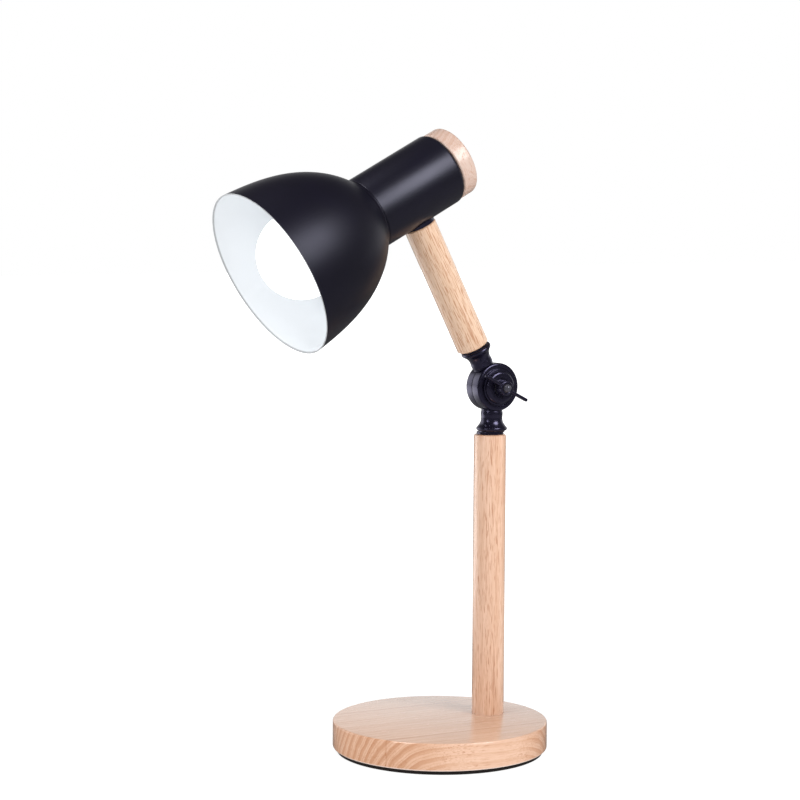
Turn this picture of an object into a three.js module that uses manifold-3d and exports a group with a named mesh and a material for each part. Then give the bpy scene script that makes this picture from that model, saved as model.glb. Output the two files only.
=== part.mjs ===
// Desk lamp: a round wooden base, a wooden post, a friction elbow with a wing nut, a wooden arm,
// and a spun metal shade on a cylindrical housing that swivels about the arm.
// Millimetres, +Z up. The origin is the centre of the pad's underside. The post stands towards +X,
// the arm leans towards -X in the plane y = 0, and the wing nut faces -Y.

import * as THREE from 'three';
import { mergeVertices } from 'three/addons/utils/BufferGeometryUtils.js';
import Module from 'manifold-3d';

const wasm = await Module();
wasm.setup();

// Facets round a turned surface, and steps along an arc or a free curve
const facets = { wide: 52, shade: 42, round: 32, neck: 22, small: 14, screw: 8 };
const steps = { arc: 2, skirt: 9, lining: 5, dome: 7, flare: 4 };

// Clearances, and the overrun of every cutter past the face it opens
const seatGap = 0.3;
const runningGap = 0.4;
const socketGap = 0.15;
const overrun = 2;

// Lamp pipe with its nuts and washers
const pipe = { radius: 5, bore: 3.8, endPlay: 0.7, headEnd: 1 };
const nut = { acrossFlats: 14, thickness: 4.2 };
const washer = { radius: 11, thickness: 1.6 };
const headWasher = { radius: 8, thickness: 1 };

// Base: pad, wooden disc, steel weight and the bushing where a lead enters
const pad = { inset: 3, thickness: 3 };
const base = { radius: 80, thickness: 20.3, topRound: 1.2, footChamfer: 1.5 };
const recess = { radius: 66, depth: 10 };
const weight = { thickness: 6, play: 0.8, windowRadius: 15 };
const weightScrew = { count: 3, circle: 50, headRadius: 3.6, headHeight: 2, radius: 1.9, length: 15 };
const screwCrownShare = 0.7;
const bushing = { bore: 3.1, radius: 4.1, flangeRadius: 5.2, flangeThickness: 1.6, lip: 1.5, wallUnder: 1 };

// Wooden dowels
const dowel = { radius: 12.1, chamfer: 0.8 };
const post = { offset: 43.1, exposed: 212, socketDepth: 5 };
const footWasher = { radius: 10.1, thickness: 2 };

// Elbow: two castings, each a turned neck that runs into half of the disc
const casting = {
  pinToSeat: 33.9,
  seatRadius: 9.8,
  beadRadius: 11.7,
  beadAt: 32.1,
  beadLip: 0.5,
  waistRadius: 8,
  waistAt: 25,
  flareAt: 30,
  collarRadius: 8.5,
  collarAt: 21,
  collarWidth: 1.6,
  boreDepth: 9,
  wireRadius: 1.8,
  wireWall: 0.6,
};
const disc = {
  radius: 18,
  frontThickness: 8,
  rearThickness: 7.7,
  edgeRound: 1,
  rimWall: 2.6,
  faceWall: 2.8,
  hubRadius: 6.2,
  partingOffset: 2.1,
};
const facePlate = {
  grooveRadius: 14.5,
  grooveWidth: 0.9,
  grooveDepth: 0.6,
  stepHeight: 1.5,
  stepWidth: 1.2,
  domeHeight: 2.8,
  domeWidth: 2.6,
  dishRadius: 7.4,
  dishDepth: 0.8,
};
const bolt = { radius: 3.2, headRadius: 5.6, headHeight: 3.4, headSink: 3, tipRound: 2.6, tipReach: 2.4 };
const boltWasher = { radius: 6.4, thickness: 0.8 };
const frictionWasher = { radius: 6, thickness: 0.8 };
const springWasher = { radius: 5.8, thickness: 1.1 };
const wingNut = {
  hubRadius: 6.2,
  hubTopRadius: 5.4,
  hubHeight: 6.4,
  hubRound: 1,
  span: 39.6,
  wingThickness: 1.9,
  rootLow: 0.8,
  rootHigh: 5.4,
  tipLow: 2.2,
  tipHigh: 6.2,
  turn: -29,
};

// Arm and head
const arm = { tilt: 27.75, pinToHead: 164.3 };
const saddle = { radius: 11.7, core: 0.8 };
const housing = { radius: 27.4, wall: 1.2, front: 37, rear: 35, rearRound: 3 };
const rearCap = { radius: 26.6, length: 13.2, round: 2.4, chamfer: 0.8 };
const capScrew = { headRadius: 4, headHeight: 2.2, radius: 2, length: 9 };
const bracket = { width: 12, thickness: 1.5, tail: 9, upright: 9.5, rise: 9 };
const nipple = { reach: 8 };

// Shade: a spun shell whose skirt opens by skirtSlope towards the rim
const shade = {
  rimRadius: 64,
  rimAt: 126.6,
  skirtSlope: 6,
  skirtReach: 23.2,
  shoulderAt: 59,
  shoulderRadius: 59.4,
  poleAt: 33.2,
  poleRadius: 20,
  wall: 1,
  neckRound: 3,
  spigotWall: 1.2,
  spigotDepth: 5.3,
};
const shadeRing = { width: 4.2, height: 5.2, notches: 8, notchWidth: 3, notchDepth: 1.6 };

// Lamp holder, which fills the housing, and bulb with an E27 cap
const holder = {
  bodyInset: 0.4,
  flangeLip: 3.1,
  flangeThickness: 2,
  mouthWall: 4.7,
  rearWall: 3,
  skirtReach: 9,
  edgeChamfer: 1,
};
const shell = { play: 0.8, wall: 0.6, inset: 2, length: 18 };
const contact = { width: 5, thickness: 0.6, rise: 2.4, root: 3.5, reach: 9.5 };
const bulb = {
  globeRadius: 32,
  globeWall: 1.5,
  seamRadius: 27.6,
  collarLength: 36.9,
  capPlay: 0.8,
  capWall: 0.6,
  capLength: 22.5,
  insulatorLength: 3.5,
  tipRadius: 4.6,
  neckLip: 1.2,
  neckLength: 7,
};
const ledBoard = { radius: 23.5, thickness: 1.6 };

// Heights and places that follow from the sizes
const padRadius = base.radius - pad.inset;
const baseTop = pad.thickness + base.thickness;
const recessRoof = pad.thickness + recess.depth;
const socketFloor = baseTop - post.socketDepth;
const postTop = baseTop + post.exposed;
const castingSeat = postTop + footWasher.thickness;
const elbowHeight = castingSeat + casting.pinToSeat;
const inletHeight = pad.thickness + bushing.wallUnder + bushing.radius;
const groove = frictionWasher.thickness + seatGap + seatGap;
const frontInner = disc.partingOffset + groove / 2;
const frontOuter = frontInner + disc.frontThickness;
const rearInner = groove / 2 - disc.partingOffset;
const rearOuter = rearInner + disc.rearThickness;
const shadeNeck = housing.front + seatGap;
const shadeBack = shadeNeck - shade.spigotDepth;
const backFront = shadeBack + shade.wall;
const holderMouth = shadeBack + holder.skirtReach;
const weightBottom = recessRoof - weight.thickness;
const screwTop = weightBottom + weightScrew.length;
const housingBore = housing.radius - housing.wall;
const spigotRadius = housingBore - seatGap;
const spigotBore = spigotRadius - shade.spigotWall;
const ringRadius = spigotBore - seatGap;
const ringBore = ringRadius - shadeRing.width;
const skirtRadius = ringBore - seatGap;
const holderRadius = skirtRadius - holder.bodyInset;
const flangeRadius = skirtRadius + holder.flangeLip;
const mouthRadius = skirtRadius - holder.mouthWall;
const shellRadius = mouthRadius - shell.play;
const capRadius = shellRadius - shell.wall - bulb.capPlay;
const legSeat = Math.sqrt(housingBore ** 2 - (bracket.width / 2) ** 2) - seatGap;
const legTop = legSeat - bracket.thickness;
const armTop = arm.pinToHead - housing.radius - saddle.core - seatGap - seatGap;
const holderRear = bracket.upright + bracket.thickness + seatGap;
const contactFloor = holderRear + holder.rearWall + seatGap;
const bulbTip = contactFloor + contact.rise + seatGap;
const collarBottom = bulbTip + bulb.insulatorLength + bulb.capLength + seatGap;
const collarTop = collarBottom + bulb.collarLength;
const globeSeam = collarTop + seatGap;
const globeCentre = globeSeam + Math.sqrt(bulb.globeRadius ** 2 - bulb.seamRadius ** 2);

const degrees = THREE.MathUtils.degToRad;
const quarterTurn = Math.PI / 2;

const finishes = {
  wood: { color: 0xdcb48c, roughness: 0.45, metalness: 0 },
  blackPaint: { color: 0x17171c, roughness: 0.42, metalness: 0.1 },
  blackGloss: { color: 0x101014, roughness: 0.22, metalness: 0.2 },
  steel: { color: 0xa9abad, roughness: 0.35, metalness: 0.9 },
  brass: { color: 0xc9a14a, roughness: 0.3, metalness: 0.9 },
  blackPlastic: { color: 0x1b1b1d, roughness: 0.5, metalness: 0 },
  whitePlastic: { color: 0xefefec, roughness: 0.4, metalness: 0 },
  foam: { color: 0x1a1a1a, roughness: 0.95, metalness: 0 },
  opal: { color: 0xffffff, roughness: 0.25, metalness: 0 },
};

// Geometry helpers

// Joins equal vertices and drops the triangles that collapse on the axis of a turned piece.
function weld(geometry) {
  const bare = geometry.clone();
  bare.deleteAttribute('normal');
  bare.deleteAttribute('uv');
  bare.clearGroups();
  const merged = mergeVertices(bare);
  const kept = [];
  for (let i = 0; i < merged.index.count; i += 3) {
    const corners = [0, 1, 2].map((k) => merged.index.getX(i + k));
    if (new Set(corners).size === 3) {
      kept.push(...corners);
    }
  }
  merged.setIndex(kept);
  return merged;
}

function toSolid(geometry) {
  const welded = weld(geometry);
  const vertProperties = new Float32Array(welded.attributes.position.array);
  const triVerts = new Uint32Array(welded.index.array);
  return new wasm.Manifold(new wasm.Mesh({ numProp: 3, vertProperties, triVerts }));
}

function toGeometry(solid) {
  const mesh = solid.getMesh();
  const geometry = new THREE.BufferGeometry();
  geometry.setAttribute('position', new THREE.BufferAttribute(mesh.vertProperties, 3));
  geometry.setIndex(new THREE.BufferAttribute(mesh.triVerts, 1));
  geometry.computeVertexNormals();
  return geometry;
}

function cut(body, ...cutters) {
  return toGeometry(cutters.reduce((left, cutter) => left.subtract(toSolid(cutter)), toSolid(body)));
}

function join(body, ...others) {
  return toGeometry(others.reduce((whole, other) => whole.add(toSolid(other)), toSolid(body)));
}

// Turns an outline of [radius, height] points about +Z. The outline runs anticlockwise, and starts
// and ends on the axis, or comes back to its first point.
function turned(outline, count) {
  const points = outline.map(([radius, height]) => new THREE.Vector2(radius, height));
  return new THREE.LatheGeometry(points, count).rotateX(quarterTurn);
}

function tube(inner, outer, bottom, top, count) {
  const first = [inner, bottom];
  return turned([first, [outer, bottom], [outer, top], [inner, top], first], count);
}

function rod(radius, bottom, top, count) {
  return turned([[0, bottom], [radius, bottom], [radius, top], [0, top]], count);
}

// Points of an arc, both ends included
function arc(centre, radius, from, to, count = steps.arc) {
  const points = [];
  for (let i = 0; i <= count; i += 1) {
    const angle = degrees(from + ((to - from) * i) / count);
    points.push([centre[0] + radius * Math.cos(angle), centre[1] + radius * Math.sin(angle)]);
  }
  return points;
}

function hexNut(bore, thickness) {
  const corner = nut.acrossFlats / 2 / Math.cos(degrees(30));
  const corners = [];
  for (let i = 0; i < 6; i += 1) {
    const angle = degrees(60 * i);
    corners.push(new THREE.Vector2(corner * Math.cos(angle), corner * Math.sin(angle)));
  }
  const outline = new THREE.Shape(corners);
  outline.holes.push(new THREE.Path().absarc(0, 0, bore, 0, Math.PI * 2, true));
  const settings = { depth: thickness, bevelEnabled: false, curveSegments: facets.small };
  return new THREE.ExtrudeGeometry(outline, settings);
}

function block(low, high) {
  const size = high.map((value, i) => value - low[i]);
  const centre = high.map((value, i) => (value + low[i]) / 2);
  return new THREE.BoxGeometry(...size).translate(...centre);
}

function add(parent, name, geometry, finish) {
  const mesh = new THREE.Mesh(geometry, new THREE.MeshStandardMaterial(finishes[finish]));
  mesh.name = name;
  parent.add(mesh);
  return mesh;
}

// Base

function screwPlaces() {
  const places = [];
  for (let i = 0; i < weightScrew.count; i += 1) {
    const angle = ((i + 0.5) * 2 * Math.PI) / weightScrew.count;
    places.push([weightScrew.circle * Math.cos(angle), weightScrew.circle * Math.sin(angle)]);
  }
  return places;
}

function screwHoles(bottom, top) {
  const hole = weightScrew.radius + seatGap;
  return screwPlaces().map(([x, y]) => rod(hole, bottom, top, facets.screw).translate(x, y, 0));
}

function baseDisc() {
  const round = arc([base.radius - base.topRound, baseTop - base.topRound], base.topRound, 0, 90);
  const body = turned(
    [
      [0, recessRoof],
      [recess.radius, recessRoof],
      [recess.radius, pad.thickness],
      [base.radius - base.footChamfer, pad.thickness],
      [base.radius, pad.thickness + base.footChamfer],
      ...round,
      [0, baseTop],
    ],
    facets.wide,
  );
  const socket = rod(dowel.radius + socketGap, socketFloor, baseTop + overrun, facets.round);
  const pipeHole = rod(pipe.radius + seatGap, recessRoof - overrun, socketFloor + overrun, facets.small);
  const inlet = rod(bushing.radius + socketGap, recess.radius - overrun, base.radius + overrun, facets.small);
  const pilots = screwHoles(recessRoof - overrun, screwTop + seatGap);
  return cut(
    body,
    socket.translate(post.offset, 0, 0),
    pipeHole.translate(post.offset, 0, 0),
    inlet.rotateY(quarterTurn).translate(0, 0, inletHeight),
    ...pilots,
  );
}

// The weight is a steel disc with a window round the post's nut and a slot for the lead.
function baseWeight() {
  const radius = recess.radius - weight.play;
  const body = rod(radius, weightBottom, recessRoof, facets.wide);
  const window = rod(weight.windowRadius, weightBottom - overrun, recessRoof + overrun, facets.round);
  const halfSlot = bushing.radius + weight.play;
  const slot = block(
    [post.offset, -halfSlot, weightBottom - overrun],
    [radius + overrun, halfSlot, recessRoof + overrun],
  );
  const holes = screwHoles(weightBottom - overrun, recessRoof + overrun);
  return cut(body, window.translate(post.offset, 0, 0), slot, ...holes);
}

function panScrew(size) {
  return turned(
    [
      [0, -size.headHeight],
      [size.headRadius * screwCrownShare, -size.headHeight],
      [size.headRadius, -size.headHeight / 2],
      [size.headRadius, 0],
      [size.radius, 0],
      [size.radius, size.length - size.radius],
      [0, size.length],
    ],
    facets.screw,
  );
}

// The bushing lines the lead's hole in the back edge of the base.
function cordBushing() {
  const inner = recess.radius - bushing.lip;
  const flange = base.radius + seatGap;
  const outer = flange + bushing.flangeThickness;
  const first = [bushing.bore, inner];
  return turned(
    [
      first,
      [bushing.radius, inner],
      [bushing.radius, flange],
      [bushing.flangeRadius, flange],
      [bushing.flangeRadius, outer - bushing.flangeThickness / 2],
      [bushing.radius, outer],
      [bushing.bore, outer],
      first,
    ],
    facets.small,
  );
}

function woodenDowel(bottom, top) {
  const bore = pipe.radius + seatGap;
  const first = [bore, bottom];
  return turned(
    [
      first,
      [dowel.radius - dowel.chamfer, bottom],
      [dowel.radius, bottom + dowel.chamfer],
      [dowel.radius, top - dowel.chamfer],
      [dowel.radius - dowel.chamfer, top],
      [bore, top],
      first,
    ],
    facets.round,
  );
}

function buildBase(lamp) {
  add(lamp, 'base_pad', rod(padRadius, 0, pad.thickness, facets.wide), 'foam');
  add(lamp, 'base_disc', baseDisc(), 'wood');
  add(lamp, 'base_weight', baseWeight(), 'steel');
  screwPlaces().forEach(([x, y], i) => {
    add(lamp, `weight_screw_${i + 1}`, panScrew(weightScrew), 'steel').position.set(x, y, weightBottom);
  });
  const inlet = add(lamp, 'cord_bushing', cordBushing(), 'blackPlastic');
  inlet.position.z = inletHeight;
  inlet.rotation.y = quarterTurn;
}

function buildPost(lamp) {
  const stand = new THREE.Group();
  stand.position.x = post.offset;
  lamp.add(stand);
  const nutTop = recessRoof - washer.thickness;
  const pipeBottom = pad.thickness + pipe.endPlay;
  const pipeTop = castingSeat + casting.boreDepth - pipe.endPlay;
  const hole = pipe.radius + seatGap;
  add(stand, 'post', woodenDowel(socketFloor, postTop), 'wood');
  add(stand, 'post_pipe', tube(pipe.bore, pipe.radius, pipeBottom, pipeTop, facets.small), 'steel');
  add(stand, 'post_washer', tube(hole, washer.radius, nutTop, recessRoof, facets.small), 'steel');
  add(stand, 'post_nut', hexNut(hole, nut.thickness), 'steel').position.z = nutTop - nut.thickness;
  add(stand, 'foot_washer', tube(hole, footWasher.radius, postTop, castingSeat, facets.round), 'blackGloss');
}

// Elbow castings. A casting's frame has its origin where the pin crosses the dowel's axis, +Z out of
// its own half of the disc, and its neck along -Y.

// The neck flares from a narrow waist to a bead that the wooden dowel seats on.
function neckOutline() {
  const flare = new THREE.QuadraticBezierCurve(
    new THREE.Vector2(casting.waistRadius, casting.waistAt),
    new THREE.Vector2(casting.waistRadius, casting.flareAt),
    new THREE.Vector2(casting.beadRadius, casting.beadAt - casting.beadLip),
  );
  const halfCollar = casting.collarWidth / 2;
  return [
    [0, disc.radius - disc.rimWall / 2],
    [casting.waistRadius, disc.radius - disc.rimWall / 2],
    [casting.waistRadius, casting.collarAt - halfCollar],
    [casting.collarRadius, casting.collarAt],
    [casting.waistRadius, casting.collarAt + halfCollar],
    ...flare.getPoints(steps.flare).map((point) => [point.x, point.y]),
    [casting.beadRadius, casting.beadAt + casting.beadLip],
    [casting.seatRadius, casting.pinToSeat],
    [0, casting.pinToSeat],
  ];
}

function faceOutline(outer) {
  const stepRadius = facePlate.grooveRadius - facePlate.grooveWidth;
  const domeFoot = stepRadius - facePlate.stepWidth;
  const domeTop = domeFoot - facePlate.domeWidth;
  const stepTop = outer + facePlate.stepHeight;
  const crown = stepTop + facePlate.domeHeight;
  const dish = crown - facePlate.dishDepth;
  const { domeWidth, domeHeight } = facePlate;
  const rise = new THREE.EllipseCurve(domeTop, stepTop, domeWidth, domeHeight, 0, quarterTurn);
  return [
    [facePlate.grooveRadius, outer],
    [facePlate.grooveRadius, outer - facePlate.grooveDepth],
    [stepRadius, outer - facePlate.grooveDepth],
    [stepRadius, stepTop],
    ...rise.getPoints(steps.arc).map((point) => [point.x, point.y]),
    [facePlate.dishRadius, crown],
    [facePlate.dishRadius - facePlate.dishDepth, dish],
    [bolt.radius + seatGap, dish],
  ];
}

// The rear half has a plain face with a sunk seat for the bolt's head.
function sunkOutline(outer) {
  const seat = outer - bolt.headSink;
  return [
    [boltWasher.radius + seatGap, outer],
    [boltWasher.radius + seatGap, seat],
    [bolt.radius + seatGap, seat],
  ];
}

function halfDisc(inner, outer, face) {
  const pocket = disc.radius - disc.rimWall;
  const floor = outer - disc.faceWall;
  const first = [bolt.radius + seatGap, inner];
  const edge = arc([disc.radius - disc.edgeRound, outer - disc.edgeRound], disc.edgeRound, 0, 90);
  const outline = [
    first,
    [disc.hubRadius, inner],
    [disc.hubRadius + disc.edgeRound, floor],
    [pocket, floor],
    [pocket, inner],
    [disc.radius, inner],
    ...edge,
    ...face(outer),
    first,
  ];
  return turned(outline, facets.round);
}

// Both necks are centred on the plane where the halves of the disc meet, and the bores on the dowels.
function swivelCasting(inner, outer, face) {
  const parting = inner - groove / 2;
  const neck = turned(neckOutline(), facets.neck).rotateX(quarterTurn).translate(0, 0, parting);
  const otherHalf = rod(disc.radius + runningGap, -casting.pinToSeat, inner, facets.round);
  const boreEnd = casting.pinToSeat - casting.boreDepth;
  const bore = rod(pipe.radius + seatGap, boreEnd, casting.pinToSeat + overrun, facets.small);
  const wireWay = rod(casting.wireRadius, disc.hubRadius + disc.rimWall, boreEnd + overrun, facets.screw);
  const clearedNeck = cut(neck, otherHalf);
  const body = join(halfDisc(inner, outer, face), clearedNeck);
  return cut(
    body,
    bore.rotateX(quarterTurn),
    wireWay.rotateX(quarterTurn).translate(0, 0, inner + casting.wireWall + casting.wireRadius),
  );
}

// The wing nut has a tapered hub and two flat wings that widen towards their round tips.
function wingNutBody() {
  const bore = bolt.radius + seatGap;
  const first = [bore, 0];
  const edgeCentre = [wingNut.hubTopRadius - wingNut.hubRound, wingNut.hubHeight - wingNut.hubRound];
  const hub = turned(
    [
      first,
      [wingNut.hubRadius, 0],
      ...arc(edgeCentre, wingNut.hubRound, 0, 90),
      [bore, wingNut.hubHeight],
      first,
    ],
    facets.neck,
  );
  const tipRound = (wingNut.tipHigh - wingNut.tipLow) / 2;
  const tipCentre = wingNut.span / 2 - tipRound;
  const root = (bore + wingNut.hubTopRadius) / 2;
  const wing = new THREE.Shape();
  wing.moveTo(root, wingNut.rootLow);
  wing.lineTo(tipCentre, wingNut.tipLow);
  wing.absarc(tipCentre, (wingNut.tipHigh + wingNut.tipLow) / 2, tipRound, -quarterTurn, quarterTurn, false);
  wing.quadraticCurveTo(wingNut.hubRadius, wingNut.rootHigh, root, wingNut.rootHigh);
  wing.closePath();
  const settings = { depth: wingNut.wingThickness, bevelEnabled: false, curveSegments: steps.flare };
  const plate = new THREE.ExtrudeGeometry(wing, settings);
  plate.translate(0, 0, -wingNut.wingThickness / 2).rotateX(quarterTurn);
  return join(hub, plate, plate.clone().rotateZ(Math.PI));
}

function swivelBolt(headSeat, nutTop) {
  const tip = nutTop + bolt.tipReach;
  const dome = new THREE.EllipseCurve(0, tip - bolt.tipRound, bolt.radius, bolt.tipRound, 0, quarterTurn);
  return turned(
    [
      [0, headSeat - bolt.headHeight],
      [bolt.radius, headSeat - bolt.headHeight],
      [bolt.headRadius, headSeat - bolt.headHeight / 2],
      [bolt.headRadius, headSeat],
      [bolt.radius, headSeat],
      ...dome.getPoints(steps.arc).map((point) => [point.x, point.y]),
    ],
    facets.small,
  );
}

function buildElbow(lamp) {
  const elbow = new THREE.Group();
  elbow.position.set(post.offset, 0, elbowHeight);
  elbow.rotation.x = quarterTurn;
  lamp.add(elbow);
  const hole = bolt.radius + seatGap;
  const washerSeat = -(rearOuter - bolt.headSink) - seatGap;
  const headSeat = washerSeat - boltWasher.thickness - seatGap;
  const frictionSeat = disc.partingOffset - frictionWasher.thickness / 2;
  const springSeat = frontOuter + facePlate.stepHeight + facePlate.domeHeight - facePlate.dishDepth + seatGap;
  const nutSeat = springSeat + springWasher.thickness + seatGap;
  add(elbow, 'lower_swivel', swivelCasting(frontInner, frontOuter, faceOutline), 'blackGloss');
  add(
    elbow,
    'friction_washer',
    tube(hole, frictionWasher.radius, frictionSeat, frictionSeat + frictionWasher.thickness, facets.small),
    'blackPlastic',
  );
  add(
    elbow,
    'bolt_washer',
    tube(hole, boltWasher.radius, washerSeat - boltWasher.thickness, washerSeat, facets.small),
    'steel',
  );
  add(
    elbow,
    'spring_washer',
    tube(hole, springWasher.radius, springSeat, springSeat + springWasher.thickness, facets.small),
    'steel',
  );
  add(elbow, 'swivel_bolt', swivelBolt(headSeat, nutSeat + wingNut.hubHeight), 'blackGloss');
  const nutMesh = add(elbow, 'wing_nut', wingNutBody(), 'blackGloss');
  nutMesh.position.z = nutSeat;
  nutMesh.rotation.z = degrees(wingNut.turn);
}

// Arm, in a group at the elbow's pin whose +Z runs along the arm

function buildArm(limb) {
  const hole = pipe.radius + seatGap;
  const pipeBottom = casting.pinToSeat - casting.boreDepth + pipe.endPlay;
  const washerSeat = arm.pinToHead - legTop + seatGap;
  const nutSeat = washerSeat + headWasher.thickness + seatGap;
  const pipeTop = nutSeat + nut.thickness + pipe.headEnd;
  const upper = add(limb, 'upper_swivel', swivelCasting(rearInner, rearOuter, sunkOutline), 'blackGloss');
  upper.rotation.x = -quarterTurn;
  add(limb, 'upper_arm', woodenDowel(casting.pinToSeat + seatGap, armTop), 'wood');
  add(limb, 'arm_pipe', tube(pipe.bore, pipe.radius, pipeBottom, pipeTop, facets.small), 'steel');
  add(
    limb,
    'head_washer',
    tube(hole, headWasher.radius, washerSeat, washerSeat + headWasher.thickness, facets.small),
    'steel',
  );
  add(limb, 'head_nut', hexNut(hole, nut.thickness), 'steel').position.z = nutSeat;
}

// Head, in a group on the arm's axis whose +Z runs towards the shade's rim and whose -X faces the arm

function sideHole(radius) {
  return rod(radius, legTop - overrun, housing.radius + saddle.radius, facets.small).rotateY(-quarterTurn);
}

function housingBody() {
  const centre = [housing.radius - housing.rearRound, housing.rearRound - housing.rear];
  const innerRound = housing.rearRound - housing.wall;
  const outside = arc(centre, housing.rearRound, -90, 0);
  const inside = arc(centre, innerRound, 0, -90);
  const first = [capScrew.radius + seatGap, -housing.rear];
  const body = turned(
    [
      first,
      ...outside,
      [housing.radius, housing.front],
      [housingBore, housing.front],
      ...inside,
      [capScrew.radius + seatGap, housing.wall - housing.rear],
      first,
    ],
    facets.shade,
  );
  return cut(body, sideHole(pipe.radius + runningGap));
}

// The saddle's upper face follows the housing, and its flat face turns on the end of the arm.
function headSaddle() {
  const bottom = housing.radius + seatGap + saddle.core;
  const plug = rod(saddle.radius, housing.radius - saddle.radius / 2, bottom, facets.round);
  const barrel = rod(housing.radius + seatGap, -housing.rear, housing.front, facets.shade);
  return cut(plug.rotateY(-quarterTurn), barrel, sideHole(pipe.radius + runningGap));
}

function rearCapBody() {
  const front = -housing.rear - seatGap;
  const rear = front - rearCap.length;
  const round = arc([rearCap.radius - rearCap.round, rear + rearCap.round], rearCap.round, -90, 0);
  const pilot = capScrew.radius + seatGap;
  const pilotEnd = housing.wall - housing.rear - capScrew.length - seatGap;
  return turned(
    [
      [0, rear],
      ...round,
      [rearCap.radius, front - rearCap.chamfer],
      [rearCap.radius - rearCap.chamfer, front],
      [pilot, front],
      [pilot, pilotEnd],
      [0, pilotEnd],
    ],
    facets.round,
  );
}

// An angle bracket joins the lamp holder to the pipe that carries the head.
function holderBracket() {
  const outline = new THREE.Shape();
  outline.moveTo(-bracket.tail, -legSeat);
  outline.lineTo(bracket.upright, -legSeat);
  outline.quadraticCurveTo(
    bracket.upright + bracket.thickness,
    -legSeat,
    bracket.upright + bracket.thickness,
    -legTop,
  );
  outline.lineTo(bracket.upright + bracket.thickness, bracket.rise);
  outline.lineTo(bracket.upright, bracket.rise);
  outline.lineTo(bracket.upright, -legTop);
  outline.lineTo(-bracket.tail, -legTop);
  outline.closePath();
  const settings = { depth: bracket.width, bevelEnabled: false, curveSegments: steps.flare };
  const plate = new THREE.ExtrudeGeometry(outline, settings).translate(0, 0, -bracket.width / 2);
  const alongAxis = new THREE.Vector3(0, 0, 1);
  const awayFromArm = new THREE.Vector3(1, 0, 0);
  const across = new THREE.Vector3(0, 1, 0);
  plate.applyMatrix4(new THREE.Matrix4().makeBasis(alongAxis, awayFromArm, across));
  const holeRadius = pipe.radius + seatGap;
  const nippleHole = rod(holeRadius, bracket.upright - overrun, holderRear + overrun, facets.small);
  return cut(plate, sideHole(pipe.radius + runningGap), nippleHole);
}

function lampHolder() {
  const bore = pipe.radius + seatGap;
  const flangeFront = shadeBack - seatGap;
  const flangeRear = flangeFront - holder.flangeThickness;
  const first = [bore, holderRear];
  return turned(
    [
      first,
      [holderRadius - holder.edgeChamfer, holderRear],
      [holderRadius, holderRear + holder.edgeChamfer],
      [holderRadius, flangeRear],
      [flangeRadius, flangeRear],
      [flangeRadius, flangeFront],
      [skirtRadius, flangeFront],
      [skirtRadius, holderMouth],
      [mouthRadius, holderMouth],
      [mouthRadius, holderRear + holder.rearWall],
      [bore, holderRear + holder.rearWall],
      first,
    ],
    facets.neck,
  );
}

// A bent brass tongue on the floor of the holder touches the tip of the bulb.
function centreContact() {
  const top = contactFloor + contact.rise;
  const tongue = new THREE.Shape();
  tongue.moveTo(contact.reach, contactFloor);
  tongue.lineTo(contact.reach, contactFloor + contact.thickness);
  tongue.lineTo(contact.root, contactFloor + contact.thickness);
  tongue.lineTo(0, top);
  tongue.lineTo(-contact.root, top);
  tongue.lineTo(-contact.root, top - contact.thickness);
  tongue.lineTo(0, top - contact.thickness);
  tongue.lineTo(contact.root, contactFloor);
  tongue.closePath();
  const settings = { depth: contact.width, bevelEnabled: false };
  return new THREE.ExtrudeGeometry(tongue, settings).translate(0, 0, -contact.width / 2).rotateX(quarterTurn);
}

// Outside of the shade from the rim to its meeting with the housing, as [radius, height] points
function skirtCurve() {
  const slope = Math.tan(degrees(shade.skirtSlope));
  return new THREE.CubicBezierCurve(
    new THREE.Vector2(shade.rimRadius, shade.rimAt),
    new THREE.Vector2(shade.rimRadius - shade.skirtReach * slope, shade.rimAt - shade.skirtReach),
    new THREE.Vector2(shade.shoulderRadius, shade.shoulderAt),
    new THREE.Vector2(shade.poleRadius, shade.poleAt),
  );
}

// The curve's points from the rim down to a given radius, moved inwards by a depth
function skirtPoints(depth, stopRadius, count) {
  const curve = skirtCurve();
  const inset = (t) => {
    const point = curve.getPoint(t);
    const along = curve.getTangent(t);
    return [point.x + along.y * depth, point.y - along.x * depth];
  };
  let low = 0;
  let high = 1;
  for (let i = 0; i < facets.round; i += 1) {
    const middle = (low + high) / 2;
    if (inset(middle)[0] > stopRadius) {
      low = middle;
    } else {
      high = middle;
    }
  }
  const points = [];
  for (let i = 0; i <= count; i += 1) {
    points.push(inset((low * i) / count));
  }
  return points;
}

function shadeShell() {
  const joint = housing.radius + shade.neckRound / 2;
  const outside = skirtPoints(0, joint, steps.skirt).reverse();
  const inside = skirtPoints(shade.wall, spigotBore, steps.lining);
  const rim = [shade.rimRadius - shade.wall / 2, shade.rimAt + shade.wall / 4];
  const blend = new THREE.QuadraticBezierCurve(
    new THREE.Vector2(housing.radius, shadeNeck),
    new THREE.Vector2(housing.radius, (shadeNeck + outside[0][1]) / 2),
    new THREE.Vector2(...outside[0]),
  );
  const first = [ringBore, shadeBack];
  return turned(
    [
      first,
      [spigotRadius, shadeBack],
      [spigotRadius, shadeNeck],
      ...blend.getPoints(steps.arc).map((point) => [point.x, point.y]),
      ...outside.slice(1),
      rim,
      ...inside,
      [spigotBore, backFront],
      [ringBore, backFront],
      first,
    ],
    facets.shade,
  );
}

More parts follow.
